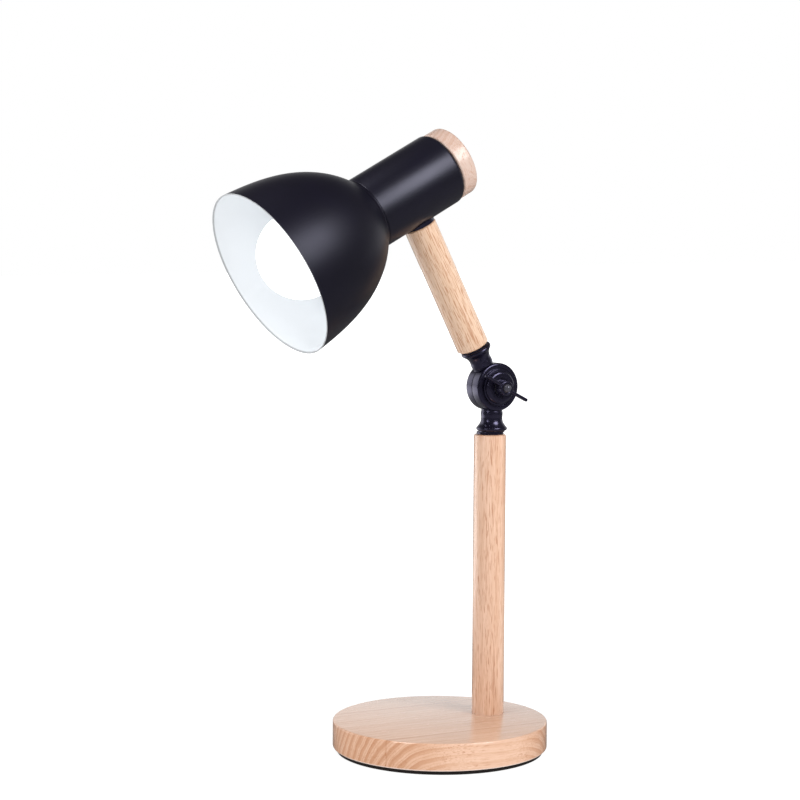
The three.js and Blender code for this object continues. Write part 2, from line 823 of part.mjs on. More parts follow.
// The ring screws over the holder's skirt and clamps the back of the shade.
function clampRing() {
  const bottom = backFront + seatGap;
  const top = bottom + shadeRing.height;
  const body = tube(ringBore, ringRadius, bottom, top, facets.round);
  const notches = [];
  for (let i = 0; i < shadeRing.notches; i += 1) {
    const half = shadeRing.notchWidth / 2;
    const low = [ringRadius - shadeRing.notchDepth, -half, top - shadeRing.notchDepth];
    const high = [ringRadius + overrun, half, top + overrun];
    notches.push(block(low, high).rotateZ((2 * Math.PI * i) / shadeRing.notches));
  }
  return cut(body, ...notches);
}

// The bulb: a plastic collar over the screw cap, and an opal globe over the board with the diodes

function bulbCollar() {
  const neckTop = collarBottom + bulb.neckLength;
  const neckRadius = capRadius + bulb.neckLip;
  const widening = new THREE.QuadraticBezierCurve(
    new THREE.Vector2(neckRadius, neckTop),
    new THREE.Vector2((neckRadius + bulb.seamRadius) / 2, (neckTop + collarTop) / 2),
    new THREE.Vector2(bulb.seamRadius, collarTop),
  );
  return turned(
    [
      [0, collarBottom],
      [capRadius, collarBottom],
      ...widening.getPoints(steps.flare).map((point) => [point.x, point.y]),
      [0, collarTop],
    ],
    facets.round,
  );
}

function bulbGlobe() {
  const inner = bulb.globeRadius - bulb.globeWall;
  const edge = (radius) => (Math.asin((globeSeam - globeCentre) / radius) * 180) / Math.PI;
  return turned(
    [
      ...arc([0, globeCentre], bulb.globeRadius, edge(bulb.globeRadius), 90, steps.dome),
      ...arc([0, globeCentre], inner, 90, edge(inner), steps.lining),
      arc([0, globeCentre], bulb.globeRadius, edge(bulb.globeRadius), 90, 1)[0],
    ],
    facets.round,
  );
}

// The screw cap is a cup whose open end meets the collar.
function bulbCap() {
  const bottom = bulbTip + bulb.insulatorLength;
  const top = bottom + bulb.capLength;
  return turned(
    [
      [0, bottom],
      [capRadius, bottom],
      [capRadius, top],
      [capRadius - bulb.capWall, top],
      [capRadius - bulb.capWall, bottom + bulb.capWall],
      [0, bottom + bulb.capWall],
    ],
    facets.neck,
  );
}

function bulbInsulator() {
  const top = bulbTip + bulb.insulatorLength - seatGap;
  return turned(
    [
      [0, bulbTip],
      [bulb.tipRadius, bulbTip],
      [bulb.tipRadius, bulbTip + bulb.insulatorLength / 4],
      [capRadius - bulb.insulatorLength / 2, top],
      [0, top],
    ],
    facets.neck,
  );
}

function buildHolder(head) {
  const nippleTop = holderRear + holder.rearWall;
  const nippleBottom = nippleTop - holder.rearWall - nipple.reach;
  const hole = pipe.radius + seatGap;
  const bracketBack = bracket.upright - seatGap;
  const shellFront = holderMouth - shell.inset;
  add(head, 'holder_bracket', holderBracket(), 'steel');
  add(head, 'lamp_holder', lampHolder(), 'blackPlastic');
  add(head, 'holder_nipple', tube(pipe.bore, pipe.radius, nippleBottom, nippleTop, facets.small), 'steel');
  add(head, 'holder_nut', hexNut(hole, nut.thickness), 'steel').position.z = bracketBack - nut.thickness;
  add(
    head,
    'holder_shell',
    tube(shellRadius - shell.wall, shellRadius, shellFront - shell.length, shellFront, facets.neck),
    'brass',
  );
  add(head, 'centre_contact', centreContact(), 'brass');
}

function buildBulb(head) {
  add(head, 'bulb_tip', bulbInsulator(), 'blackPlastic');
  add(head, 'bulb_cap', bulbCap(), 'steel');
  add(head, 'bulb_collar', bulbCollar(), 'whitePlastic');
  const boardFront = globeSeam + ledBoard.thickness;
  add(head, 'led_board', rod(ledBoard.radius, globeSeam, boardFront, facets.neck), 'whitePlastic');
  add(head, 'bulb_globe', bulbGlobe(), 'opal');
}

function buildHead(head) {
  add(head, 'head_saddle', headSaddle(), 'blackPlastic');
  add(head, 'housing', housingBody(), 'blackPaint');
  add(head, 'rear_cap', rearCapBody(), 'wood');
  const screw = add(head, 'cap_screw', panScrew(capScrew), 'steel');
  screw.position.z = housing.wall - housing.rear + seatGap;
  screw.rotation.x = Math.PI;
  buildHolder(head);
  add(head, 'shade', shadeShell(), 'blackPaint');
  add(head, 'shade_ring', clampRing(), 'blackPlastic');
  buildBulb(head);
}

const lamp = new THREE.Group();
buildBase(lamp);
buildPost(lamp);
buildElbow(lamp);

const limb = new THREE.Group();
limb.position.set(post.offset, 0, elbowHeight);
limb.rotation.y = -degrees(arm.tilt);
lamp.add(limb);
buildArm(limb);

const head = new THREE.Group();
head.position.z = arm.pinToHead;
head.rotation.y = -quarterTurn;
limb.add(head);
buildHead(head);

export default lamp;
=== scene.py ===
import math
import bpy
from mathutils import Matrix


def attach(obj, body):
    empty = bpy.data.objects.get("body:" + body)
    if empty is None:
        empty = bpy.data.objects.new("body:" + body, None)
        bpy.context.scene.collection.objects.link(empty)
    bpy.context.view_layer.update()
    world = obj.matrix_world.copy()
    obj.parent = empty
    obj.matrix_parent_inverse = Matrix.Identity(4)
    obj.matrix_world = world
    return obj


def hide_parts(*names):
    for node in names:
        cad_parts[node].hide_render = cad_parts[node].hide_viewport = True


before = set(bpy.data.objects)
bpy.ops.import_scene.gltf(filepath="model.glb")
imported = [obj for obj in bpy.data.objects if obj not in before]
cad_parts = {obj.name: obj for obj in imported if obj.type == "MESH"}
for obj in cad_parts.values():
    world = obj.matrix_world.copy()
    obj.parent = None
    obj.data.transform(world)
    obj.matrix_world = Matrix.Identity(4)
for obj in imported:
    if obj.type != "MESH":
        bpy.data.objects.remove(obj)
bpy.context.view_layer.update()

from types import SimpleNamespace as Named

import bmesh
import bpy
from bpy.props import FloatProperty, FloatVectorProperty, PointerProperty
from mathutils import Matrix, Vector

bl_info = {
    "name": "Desk lamp dressing",
    "version": (1, 0, 0),
    "blender": (4, 5, 0),
    "location": "3D View > Sidebar > Lamp",
    "description": "Builds the wooden, painted and glowing pieces of a desk lamp round its packed solids",
    "category": "Object",
}

# Named in millimetres, as in the solids. The origin is the centre of the pad's underside.
PAD = Named(radius=77.0, thickness=3.0)
BASE = Named(radius=80.0, top=23.3, foot_round=1.4)
RECESS = Named(radius=66.0, roof=13.0)
BUSHING = Named(bore=3.1, radius=4.1, flange=5.2, inner=64.5, seat=80.3, outer=81.9, height=8.1)
DOWEL = Named(radius=12.1, bore=5.3)
POST = Named(offset=43.1, bottom=18.3, top=235.3)
FOOT_WASHER = Named(radius=10.1, bottom=235.3, top=237.3)
ELBOW_HEIGHT = 271.2
ARM = Named(tilt=27.75, bottom=34.2, top=136.0, pin_to_head=164.3)
DISC = Named(
    radius=18.0, round=1.5, parting=2.1, groove=1.4, front=8.0, rear=7.7, rim_wall=2.6, face_wall=2.8,
    hub=6.2, hub_taper=1.0, rim_reach=0.6,
)
NECK = Named(
    root=7.85, sunk=1.3, ridge=8.3, ridge_at=20.3, ridge_half=1.2, waist=7.93, waist_at=22.9,
    waist_end=27.3, flare=9.7, flare_from=28.5, flare_wide=10.95, flare_end=30.2, bead=9.95, bead_at=31.4,
    bead_round=1.6, seat=9.8, seat_height=0.7, end=33.9, bore_end=24.9, gap=0.4,
)
FACE = Named(
    groove=14.5, groove_width=0.9, groove_depth=0.6, step_width=1.2, step_height=1.5, dome_width=2.6,
    dome_height=2.8, dish=7.4, dish_depth=0.8, head_pocket=6.7,
)
BOLT = Named(
    radius=3.2, head=5.6, head_height=3.4, head_edge=1.2, washer=1.4, sink=3.0, tip_round=3.2,
    tip_reach=3.0,
)
WING_NUT = Named(
    hub=6.2, hub_top=5.4, height=6.4, root_low=0.8, root_high=5.4, tip_low=3.2, tip_high=7.2, edge=0.6,
    cast_grain=0.18, turn=-28.5,
)
SADDLE = Named(radius=11.7, bottom=28.05, plug=6.0)
HOUSING = Named(radius=27.4, wall=1.2, front=37.0, rear=35.0, rear_round=3.0)
REAR_CAP = Named(radius=26.5, front=-35.3, rear=-48.3, chamfer=0.8, pilot=2.3, pilot_end=-43.1)
SHADE = Named(
    rim=64.0, rim_at=126.6, slope=6.0, skirt=23.2, shoulder=59.4, shoulder_at=59.0, pole=20.0,
    pole_at=33.2, wall=1.0, neck=37.3, back=32.0, spigot=25.9, spigot_bore=24.7, hole=20.2, joint=28.9,
    lip=0.3, thin_start=1.5, thin_full=0.6,
)
RING = Named(bore=20.2, radius=24.4, bottom=33.3, top=38.5, notch=1.6, notch_half=1.5, notches=8)
HOLDER = Named(
    rear=11.3, radius=19.5, skirt=19.9, flange=23.0, flange_rear=29.7, flange_front=31.7, mouth=41.0,
    mouth_radius=15.2, floor=14.3, bore=5.3,
)
BULB = Named(
    insulator=20.5, cap_end=43.3, cap=13.0, collar=43.6, neck=14.2, neck_top=50.6, collar_top=80.5,
    seam=27.6, globe_at=96.99, globe=32.0, wall=1.5, thread_pitch=3.6, thread_depth=0.7, thread_play=0.05,
    run_in=2.0, run_out=3.0,
)
CLEARANCE = 0.3
SOCKET_PLAY = 0.15
PIPE_WAY = Named(radius=5.4, in_housing=20.0, in_saddle=10.0, end=40.0)
WASHER_STACK = 1.7
PAST = 2.0  # how far a cutter reaches past what it cuts

FINE, ROUND, SMALL = 192, 96, 48  # faces round a turned piece
METRES = Matrix.Scale(0.001, 4)


def turned_about(axis, degrees):
    return Matrix.Rotation(math.radians(degrees), 4, axis)


# Seats: where each group of pieces has its own origin and axes
AT_BASE = Matrix.Identity(4)
AT_POST = Matrix.Translation((POST.offset, 0, 0))
AT_INLET = Matrix.Translation((0, 0, BUSHING.height)) @ turned_about("Y", 90)
AT_PIN = Matrix.Translation((POST.offset, 0, ELBOW_HEIGHT))
AT_FRONT_HALF = AT_PIN @ turned_about("X", 90)
AT_ARM = AT_PIN @ turned_about("Y", -ARM.tilt)
AT_REAR_HALF = AT_ARM @ turned_about("X", -90)
AT_HEAD = AT_ARM @ Matrix.Translation((0, 0, ARM.pin_to_head)) @ turned_about("Y", -90)


# Shader expressions


class Value:
    """A number that changes over a surface. Arithmetic on it adds Math nodes."""

    kind = "ShaderNodeMath"

    def __init__(self, finish, socket):
        self.finish = finish
        self.socket = socket

    def apply(self, operation, *values):
        node = self.finish.node(self.kind, {"operation": operation}, dict(enumerate(values)))
        return type(self)(self.finish, node.socket)

    def __add__(self, other):
        return self.apply("ADD", self, other)

    def __sub__(self, other):
        return self.apply("SUBTRACT", self, other)

    def __rsub__(self, other):
        return self.apply("SUBTRACT", other, self)

    def __mul__(self, other):
        return self.apply("MULTIPLY", self, other)

    def __truediv__(self, other):
        return self.apply("DIVIDE", self, other)

    def __pow__(self, other):
        return self.apply("POWER", self, other)

    def __gt__(self, other):
        return self.apply("GREATER_THAN", self, other)

    __radd__ = __add__
    __rmul__ = __mul__

    def size(self):
        return self.apply("ABSOLUTE", self)

    def fraction(self):
        return self.apply("FRACT", self)

    def clipped(self):
        return self.apply("MINIMUM", self.apply("MAXIMUM", self, 0.0), 1.0)

    def rising(self, low, high):
        """0 below low and 1 above high, with a smooth step between."""
        settings = {"interpolation_type": "SMOOTHSTEP"}
        sockets = {"Value": self, "From Min": low, "From Max": high}
        return self.finish.node("ShaderNodeMapRange", settings, sockets, "Result")


class Place(Value):
    """A point or direction that changes over a surface. Arithmetic on it adds Vector Math nodes."""

    kind = "ShaderNodeVectorMath"

    def number(self, operation, other):
        node = self.finish.node(self.kind, {"operation": operation}, {0: self, 1: other}, "Value")
        return Value(self.finish, node.socket)

    def along(self, direction):
        return self.number("DOT_PRODUCT", direction)

    def stretched(self, scale):
        """The same place with each axis at its own scale, for patterns that run along the grain."""
        return self.apply("MULTIPLY", self, scale)

    def parts(self):
        sockets = {"Vector": self}
        return [self.finish.node("ShaderNodeSeparateXYZ", {}, sockets, axis) for axis in "XYZ"]


class Finish:
    """A material or a world in the making."""

    def __init__(self, owner):
        self.owner = owner
        owner.use_nodes = True
        self.tree = owner.node_tree
        self.tree.nodes.clear()

    def node(self, kind, settings, sockets, output=0):
        """Adds a node: first its settings, then the values or links of its sockets."""
        node = self.tree.nodes.new(kind)
        for name, value in settings.items():
            setattr(node, name, value)
        for name, value in sockets.items():
            socket = node.inputs[name]
            if isinstance(value, Value):
                self.tree.links.new(value.socket, socket)
            else:
                socket.default_value = value
        return Value(self, node.outputs[output]) if node.outputs else None

    def local(self, seat):
        """Places in millimetres in a seat's own axes."""
        place = self.node("ShaderNodeTexCoord", {}, {}, "Object")
        location, rotation, scale = (METRES @ seat).decompose()
        sockets = {"Vector": place, "Location": location, "Rotation": rotation.to_euler(), "Scale": scale}
        shifted = self.node("ShaderNodeMapping", {"vector_type": "TEXTURE"}, sockets)
        return Place(self, shifted.socket)

    def noise(self, place, scale, detail=2.0, roughness=0.5):
        sockets = {"Vector": place, "Scale": scale, "Detail": detail, "Roughness": roughness}
        return self.node("ShaderNodeTexNoise", {}, sockets, "Fac")

    def mixed(self, factor, first, second):
        """A colour between two colours. Sockets 6, 7 and 2 are the Mix node's colours and its result."""
        sockets = {"Factor": factor, 6: first, 7: second}
        return self.node("ShaderNodeMix", {"data_type": "RGBA"}, sockets, 2)

    def bump(self, height, depth):
        return self.node("ShaderNodeBump", {}, {"Height": height, "Distance": depth})

    def surface(self, sockets):
        """The principled shader with these sockets, linked to the output."""
        shader = self.node("ShaderNodeBsdfPrincipled", {}, sockets)
        self.node("ShaderNodeOutputMaterial", {}, {"Surface": shader})
        return self.owner


def new_finish(name):
    return Finish(bpy.data.materials.new(name))


def tinted(colour):
    return (*colour, 1.0)


def blended(first, second, share):
    return tuple(a + (b - a) * share for a, b in zip(first, second))


def darker(colour, share):
    return tinted([level * (1 - share) for level in colour])


# Finishes

# Marks in the wood: how often they come along and across the grain, their detail, and the noise
# levels where they start and are full. The fine rings have a share of the rings' spacing, and the
# pattern shifts from board to board. The group for the base's lower edge, above the pad, is a painted
# highlight: a paler band that stands in for light bounced up from the floor.
STREAK = ((0.013, 0.8, 0.8), 2.0, 0.58, 0.7)
LINE = ((0.08, 1.35, 1.35), 2.0, 0.55, 0.62)
CLUSTER = ((0.008, 0.09, 0.09), 1.0, 0.36, 0.62)
VESSEL = ((0.1, 1.55, 1.55), 1.0, 0.6, 0.68)
MOTTLE_SCALE, FIBRE_SCALE = (0.012, 0.11, 0.11), (0.045, 1.0, 1.0)
FINE_RINGS = 0.31
BOARD_SHIFT = 170.0
PAINTED_BOUNCE_EDGE = Named(colour=(0.95, 0.86, 0.82), share=0.6, start=0.3, full=1.5)
CLOUD_SCALE = 0.045


def wood_marks(finish, board, marks):
    scale, detail, start, full = marks
    return finish.noise(board.stretched(scale), 1.0, detail).rising(start, full)


def wood_finish(name, seat, piths, joints, grain):
    """Pale lacquered rubberwood. Its grain runs along the seat's X. Boards meet at the joints' Y,
    and each board's rings run round its own pith, a (Y, Z) place."""
    wood = bpy.context.scene.lamp_wood
    finish = new_finish(name)
    place = finish.local(seat)
    _, y, z = place.parts()
    pith_y, pith_z = piths[0]
    board = place
    for joint, before, after in zip(joints, piths, piths[1:]):
        beyond = y > joint
        pith_y = beyond * (after[0] - before[0]) + pith_y
        pith_z = beyond * (after[1] - before[1]) + pith_z
        shift = finish.node("ShaderNodeCombineXYZ", {}, {"X": beyond * BOARD_SHIFT})
        board = board + Place(finish, shift.socket)
    from_y, from_z = y - pith_y, z - pith_z
    radius = (from_y * from_y + from_z * from_z) ** 0.5
    facing = Place(finish, finish.node("ShaderNodeTexCoord", {}, {}, "Normal").socket)
    end = facing.along(seat.col[0][:3]).size().rising(0.3, 0.75)
    flat = facing.along(seat.col[2][:3]).rising(0.6, 0.95)
    wobble = finish.noise(board.stretched(grain.wobble_scale), 1.0, 3.0) * grain.wobble
    ring = ((radius + wobble) / grain.spacing).fraction()
    fine_ring = ((radius + wobble) / (grain.spacing * FINE_RINGS)).fraction()
    late = (ring.rising(0.35, 0.9) - ring.rising(0.93, 1.0)) * 0.7 + fine_ring.rising(0.5, 0.95) * 0.3
    late = late * (end * (1.5 - grain.plain) + grain.plain - flat * grain.planed)
    mottle = finish.noise(board.stretched(MOTTLE_SCALE), 1.0, 3.0)
    fibre = finish.noise(board.stretched(FIBRE_SCALE), 1.0, 3.0, 0.65)
    marks = (STREAK, LINE, CLUSTER, VESSEL)
    streak, line, cluster, vessel = [wood_marks(finish, board, kind) for kind in marks]
    tone = late * grain.ring_tone + mottle.rising(0.3, 0.72) * grain.mottle
    tone = tone + fibre.rising(0.25, 0.8) * 0.35
    pale, warm = [blended(colour, grain.pale, grain.bleach) for colour in (wood.light, wood.middle)]
    colour = finish.mixed((tone + end * 0.35).clipped(), tinted(pale), tinted(warm))
    dark = (streak * 0.6 + vessel) * (cluster * 0.7 + 0.3) * grain.vessel_tone
    dark = dark + end * late * 0.3 + line * grain.line_tone
    for joint in joints:
        gap = (y - joint).size()
        dark = dark + (1.0 - gap.rising(0.1, 0.5)) * 0.3 + (1.0 - gap.rising(0.4, 1.8)) * flat * 0.28
    deep = blended(wood.dark, grain.pale, grain.bleach * 0.5)
    colour = finish.mixed(dark.clipped(), colour, tinted(deep))
    # Painted highlight: the base's lower edge, just above the pad, is mixed towards a pale colour to stand
    # in for light bounced up from the white floor
    if grain.foot:
        rise = z.rising(PAD.thickness + PAINTED_BOUNCE_EDGE.start, PAD.thickness + PAINTED_BOUNCE_EDGE.full)
        colour = finish.mixed(PAINTED_BOUNCE_EDGE.share - rise * PAINTED_BOUNCE_EDGE.share, colour, tinted(PAINTED_BOUNCE_EDGE.colour))
    gloss = vessel * 0.12 + mottle * 0.08 + (wood.roughness - 0.05)
    relief = finish.bump(fibre * 0.35 - vessel - late * 0.15, grain.relief)
    return finish.surface({
        "Base Color": colour, "Roughness": gloss, "Normal": relief,
        "Coat Weight": wood.lacquer * grain.coat, "Coat Roughness": grain.coat_dull,
    })


def paint_finish(
    name, seat, colour, roughness, grain_scale, depth, sheen=(1, 1, 1), mirror=0.5, clouding=0.04
):
    """Paint with a fine grain, and a slow change of gloss. A mirror of 0.5 is a plain lacquer's."""
    finish = new_finish(name)
    place = finish.local(seat)
    grain = finish.noise(place, grain_scale, 2.0)
    cloud = finish.noise(place, CLOUD_SCALE, 2.0)
    rough = cloud * 0.08 + grain * 0.05 + (roughness - 0.065)
    clouded = finish.mixed(cloud.rising(0.3, 0.7), tinted(colour), darker(colour, clouding))
    return finish.surface({
        "Base Color": clouded, "Roughness": rough, "Normal": finish.bump(grain, depth),
        "Specular Tint": tinted(sheen), "Specular IOR Level": mirror,
    })


def lining_finish():
    """The white paint inside the shade, turning darker towards the rim: painted shading along the rim's
    edge.
    """
    white = bpy.context.scene.lamp_paint.white
    finish = new_finish("shade_lining")
    place = finish.local(AT_HEAD)
    grain = finish.noise(place, 1.6, 2.0)
    cloud = finish.noise(place, CLOUD_SCALE, 2.0)
    edge = place.parts()[2].rising(SHADE.rim_at - SHADE.thin_start, SHADE.rim_at - SHADE.thin_full)
    # Painted shading: near the rim the white is mixed down to half its brightness, standing in for the edge
    # turned away from the light
    rim_shading = finish.mixed((edge + cloud * 0.05).clipped(), tinted(white), darker(white, 0.5))
    rough = cloud * 0.1 + grain * 0.05 + 0.3
    return finish.surface({"Base Color": rim_shading, "Roughness": rough, "Normal": finish.bump(grain, 0.00001)})


def metal_finish(name, colour, roughness):
    """Bare or plated metal, with fine marks and a clouded gloss."""
    finish = new_finish(name)
    place = finish.local(AT_BASE)
    cloud = finish.noise(place, 0.18, 3.0)
    marks = finish.noise(place.stretched((0.4, 0.4, 5.0)), 1.0, 2.0)
    clouded = finish.mixed(cloud.rising(0.3, 0.7), tinted(colour), darker(colour, 0.18))
    rough = cloud * 0.16 + marks * 0.1 + (roughness - 0.13)
    relief = finish.bump(marks, 0.00001)
    return finish.surface({"Base Color": clouded, "Metallic": 1.0, "Roughness": rough, "Normal": relief})


def opal_finish():
    """The lit opal globe: evenly bright, a little less so towards the collar."""
    opal = (0.86, 0.87, 0.88, 1.0)
    finish = new_finish("opal")
    place = finish.local(AT_HEAD)
    near = place.parts()[2].rising(BULB.collar_top, BULB.globe_at)
    veil = finish.noise(place, 0.08, 1.0) * 0.04
    glow = finish.mixed((near - veil).clipped(), opal, (1.0, 1.0, 1.0, 1.0))
    strength = bpy.context.scene.lamp_bulb.glow
    return finish.surface({
        "Base Color": opal, "Roughness": 0.3, "Emission Color": glow, "Emission Strength": strength,
    })


# Rings in millimetres and tones from 0 to 1. The tones say how dark each kind of mark is, plain and
# planed how much the rings show, and bleach how far the wood's colours go towards the pale one.
BASE_GRAIN = Named(
    wobble_scale=(0.003, 0.025, 0.025), wobble=12.0, spacing=5.6, ring_tone=0.7, vessel_tone=0.5,
    line_tone=0.08, mottle=0.3, plain=0.6, planed=0.15, pale=(0.86, 0.70, 0.60), bleach=0.0,
    relief=0.00001, coat=0.6, coat_dull=0.07, foot=True,
)
DOWEL_GRAIN = Named(
    wobble_scale=(0.004, 0.05, 0.05), wobble=6.0, spacing=4.3, ring_tone=0.45, vessel_tone=0.95,
    line_tone=0.34, mottle=0.5, plain=1.0, planed=0.0, pale=(0.87, 0.61, 0.46), bleach=0.25,
    relief=0.00003, coat=1.0, coat_dull=0.25, foot=False,
)


def like_a_dowel(**changes):
    return Named(**vars(DOWEL_GRAIN) | changes)


ARM_GRAIN = like_a_dowel(line_tone=0.85, pale=(0.76, 0.61, 0.45), bleach=0.4, coat=0.35, coat_dull=0.4)
CAP_GRAIN = like_a_dowel(vessel_tone=0.8, pale=(0.50, 0.425, 0.395), bleach=0.66, coat=0.1)
GRAIN_UP = turned_about("Y", -90)
ALONG_BOARDS = turned_about("Z", -4.5)
BOARD_PITHS = [(-78.0, -6.0), (-109.0, -35.0), (170.0, -60.0)]
BOARD_JOINTS = [-43.5, 46.5]
CASTING_SHEEN = (0.66, 0.62, 1.0)


def make_finishes():
    """Every material of the lamp, by name."""
    paint = bpy.context.scene.lamp_paint
    black, sheen = paint.black, paint.sheen
    woods = {
        "base_wood": (ALONG_BOARDS, BOARD_PITHS, BOARD_JOINTS, BASE_GRAIN),
        "post_wood": (AT_POST @ GRAIN_UP, [(26.0, -19.0)], [], DOWEL_GRAIN),
        "arm_wood": (AT_ARM @ GRAIN_UP, [(-22.0, 17.0)], [], ARM_GRAIN),
        "cap_wood": (AT_HEAD, [(14.0, -31.0)], [], CAP_GRAIN),
    }
    # Each paint's seat, colour, roughness, scale and depth of its grain, sheen, mirror and clouding
    paints = {
        "tube_paint": (AT_HEAD, black, paint.satin + 0.05, 2.2, 0.000012, sheen, 0.55, 0.2),
        "shade_paint": (AT_HEAD, black, paint.satin + 0.1, 2.2, 0.000012, sheen, 0.36, 0.2),
        "casting_paint": (AT_PIN, black, paint.gloss, 0.3, 0.000012, CASTING_SHEEN, 1.0, 0.2),
        # The bolt's black is lifted to dark grey, a painted highlight standing in for the broad grey gloss
        # on its domed tip
        "bolt_black": (AT_PIN, (0.045, 0.043, 0.052), 0.3, 1.5, 0.00001, sheen, 1.0),
        "black_plastic": (AT_HEAD, (0.012, 0.012, 0.013), 0.45, 1.1, 0.00003),
        "white_plastic": (AT_HEAD, (0.78, 0.78, 0.77), 0.4, 1.0, 0.00002),
        "pad_foam": (AT_BASE, (0.011, 0.007, 0.006), 0.85, 2.5, 0.0002),
        "board": (AT_HEAD, (0.74, 0.75, 0.72), 0.5, 0.4, 0.00005),
    }
    metals = {"steel": ((0.55, 0.55, 0.56), 0.36), "brass": ((0.76, 0.55, 0.25), 0.32)}
    finishes = {"shade_lining": lining_finish(), "opal": opal_finish()}
    for make, table in ((wood_finish, woods), (paint_finish, paints), (metal_finish, metals)):
        finishes |= {name: make(name, *values) for name, values in table.items()}
    return finishes


FINISHES = {}


def finish_named(name):
    if not FINISHES:
        FINISHES.update(make_finishes())
    return FINISHES[name]


# Mesh helpers, in millimetres


def shape_size(name):
    """A size from the lamp's settings."""
    return getattr(bpy.context.scene.lamp_shape, name) * 1000


def softened(corners, steps=5):
    """Rounds each corner of an outline that carries a third number, its radius."""
    points = []
    for number, corner in enumerate(corners):
        here = Vector(corner[:2])
        if len(corner) < 3:
            points.append(tuple(here))
            continue
        before = (Vector(corners[number - 1][:2]) - here).normalized()
        after = (Vector(corners[(number + 1) % len(corners)][:2]) - here).normalized()
        half = before.angle(after) / 2
        reach = corner[2] / math.tan(half)
        start, end = here + before * reach, here + after * reach
        centre = here + (before + after).normalized() * (corner[2] / math.sin(half))
        sweep = (start - centre).angle_signed(end - centre)
        for step in range(steps + 1):
            turn = Matrix.Rotation(-sweep * step / steps, 2)
            points.append(tuple(centre + turn @ (start - centre)))
    return points


def arc_points(centre, radius, start, end, steps):
    points = []
    for step in range(steps + 1):
        angle = math.radians(start + (end - start) * step / steps)
        points.append((centre[0] + radius[0] * math.cos(angle), centre[1] + radius[1] * math.sin(angle)))
    return points


def curve_points(controls, steps):
    """Points of a Bezier curve of any order."""
    points = []
    for step in range(steps + 1):
        level = [Vector(control) for control in controls]
        while len(level) > 1:
            level = [a.lerp(b, step / steps) for a, b in zip(level, level[1:])]
        points.append(tuple(level[0]))
    return points


def as_mesh(work):
    mesh = bpy.data.meshes.new("blank")
    work.normal_update()
    work.to_mesh(mesh)
    work.free()
    return mesh


def turned(outline, segments, lining=None, wave=None):
    """Turns an outline of (radius, height) points about Z. It starts and ends on the axis, or else
    closes on itself. Faces from the point numbered lining on take the second finish, and a wave
    gives every point a radius of its own."""
    work = bmesh.new()
    angles = [2 * math.pi * step / segments for step in range(segments)]
    rings = []
    for radius, height in outline:
        if radius < 1e-6:
            rings.append([work.verts.new((0, 0, height))] * segments)
            continue
        ring = []
        for angle in angles:
            far = wave(radius, height, angle) if wave else radius
            ring.append(work.verts.new((far * math.cos(angle), far * math.sin(angle), height)))
        rings.append(ring)
    if outline[0][0] > 0:
        rings.append(rings[0])
    for number, (lower, upper) in enumerate(zip(rings, rings[1:])):
        for step in range(segments):
            beside = (step + 1) % segments
            corners = dict.fromkeys([lower[step], lower[beside], upper[beside], upper[step]])
            if len(corners) > 2:
                face = work.faces.new(corners)
                face.material_index = int(lining is not None and number >= lining)
    return as_mesh(work)


def rod(radius, bottom, top, segments=ROUND):
    return turned([(0, bottom), (radius, bottom), (radius, top), (0, top)], segments)


def plate(outline, depth, rounding):
    """A flat plate with this outline in X and Z, centred on Y, with rounded edges."""
    work = bmesh.new()
    face = work.faces.new([work.verts.new((x, -depth / 2, z)) for x, z in outline])
    swept = bmesh.ops.extrude_face_region(work, geom=[face])
    far_side = [item for item in swept["geom"] if isinstance(item, bmesh.types.BMVert)]
    bmesh.ops.translate(work, vec=(0, depth, 0), verts=far_side)
    bmesh.ops.recalc_face_normals(work, faces=work.faces)
    flat = [edge for edge in work.edges if abs(edge.verts[0].co.y - edge.verts[1].co.y) < 1e-6]
    bmesh.ops.bevel(work, geom=flat, offset=rounding, segments=3, profile=0.5, affect="EDGES")
    return as_mesh(work)


def moved(mesh, matrix):
    mesh.transform(matrix)
    return mesh


def held(name, data):
    """A new object in the scene that shows a mesh, a camera or a light."""
    holder = bpy.data.objects.new(name, data)
    bpy.context.scene.collection.objects.link(holder)
    return holder


def altered(mesh, *changes):
    """The mesh with modifiers applied, each given as its type and settings."""
    holder = held("blank", mesh)
    for kind, settings in changes:
        modifier = holder.modifiers.new(kind.title(), kind)
        for name, value in settings.items():
            setattr(modifier, name, value)
    graph = bpy.context.evaluated_depsgraph_get()
    result = bpy.data.meshes.new_from_object(holder.evaluated_get(graph), depsgraph=graph)
    bpy.data.objects.remove(holder)
    return result


def combined(mesh, operation, *others):
    for other in others:
        tool = held("tool", other)
        mesh = altered(mesh, ("BOOLEAN", {"operation": operation, "solver": "EXACT", "object": tool}))
        bpy.data.objects.remove(tool)
    return mesh


def cast(mesh, grain, passes):
    """Draws the mesh anew in small even faces, with its creases filled as in a painted casting."""
    return altered(
        mesh,
        ("REMESH", {"mode": "VOXEL", "voxel_size": grain, "use_smooth_shade": True}),
        ("SMOOTH", {"factor": 0.5, "iterations": passes}),
    )


def add_piece(name, replaced, mesh, seat, body, slot, *finishes, crease=32.0):
    """Puts a finished mesh in its place, on its body, in the stead of its solid. Without finishes of
    its own it takes the one named as its slot."""
    mesh.transform(METRES @ seat)
    for finish in finishes or [slot]:
        mesh.materials.append(finish_named(finish))
    mesh.polygons.foreach_set("use_smooth", [True] * len(mesh.polygons))
    mesh.set_sharp_from_angle(angle=math.radians(crease))
    mesh.name = name
    piece = held(name, mesh)
    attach(piece, body)
    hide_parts(replaced)


# Base and post


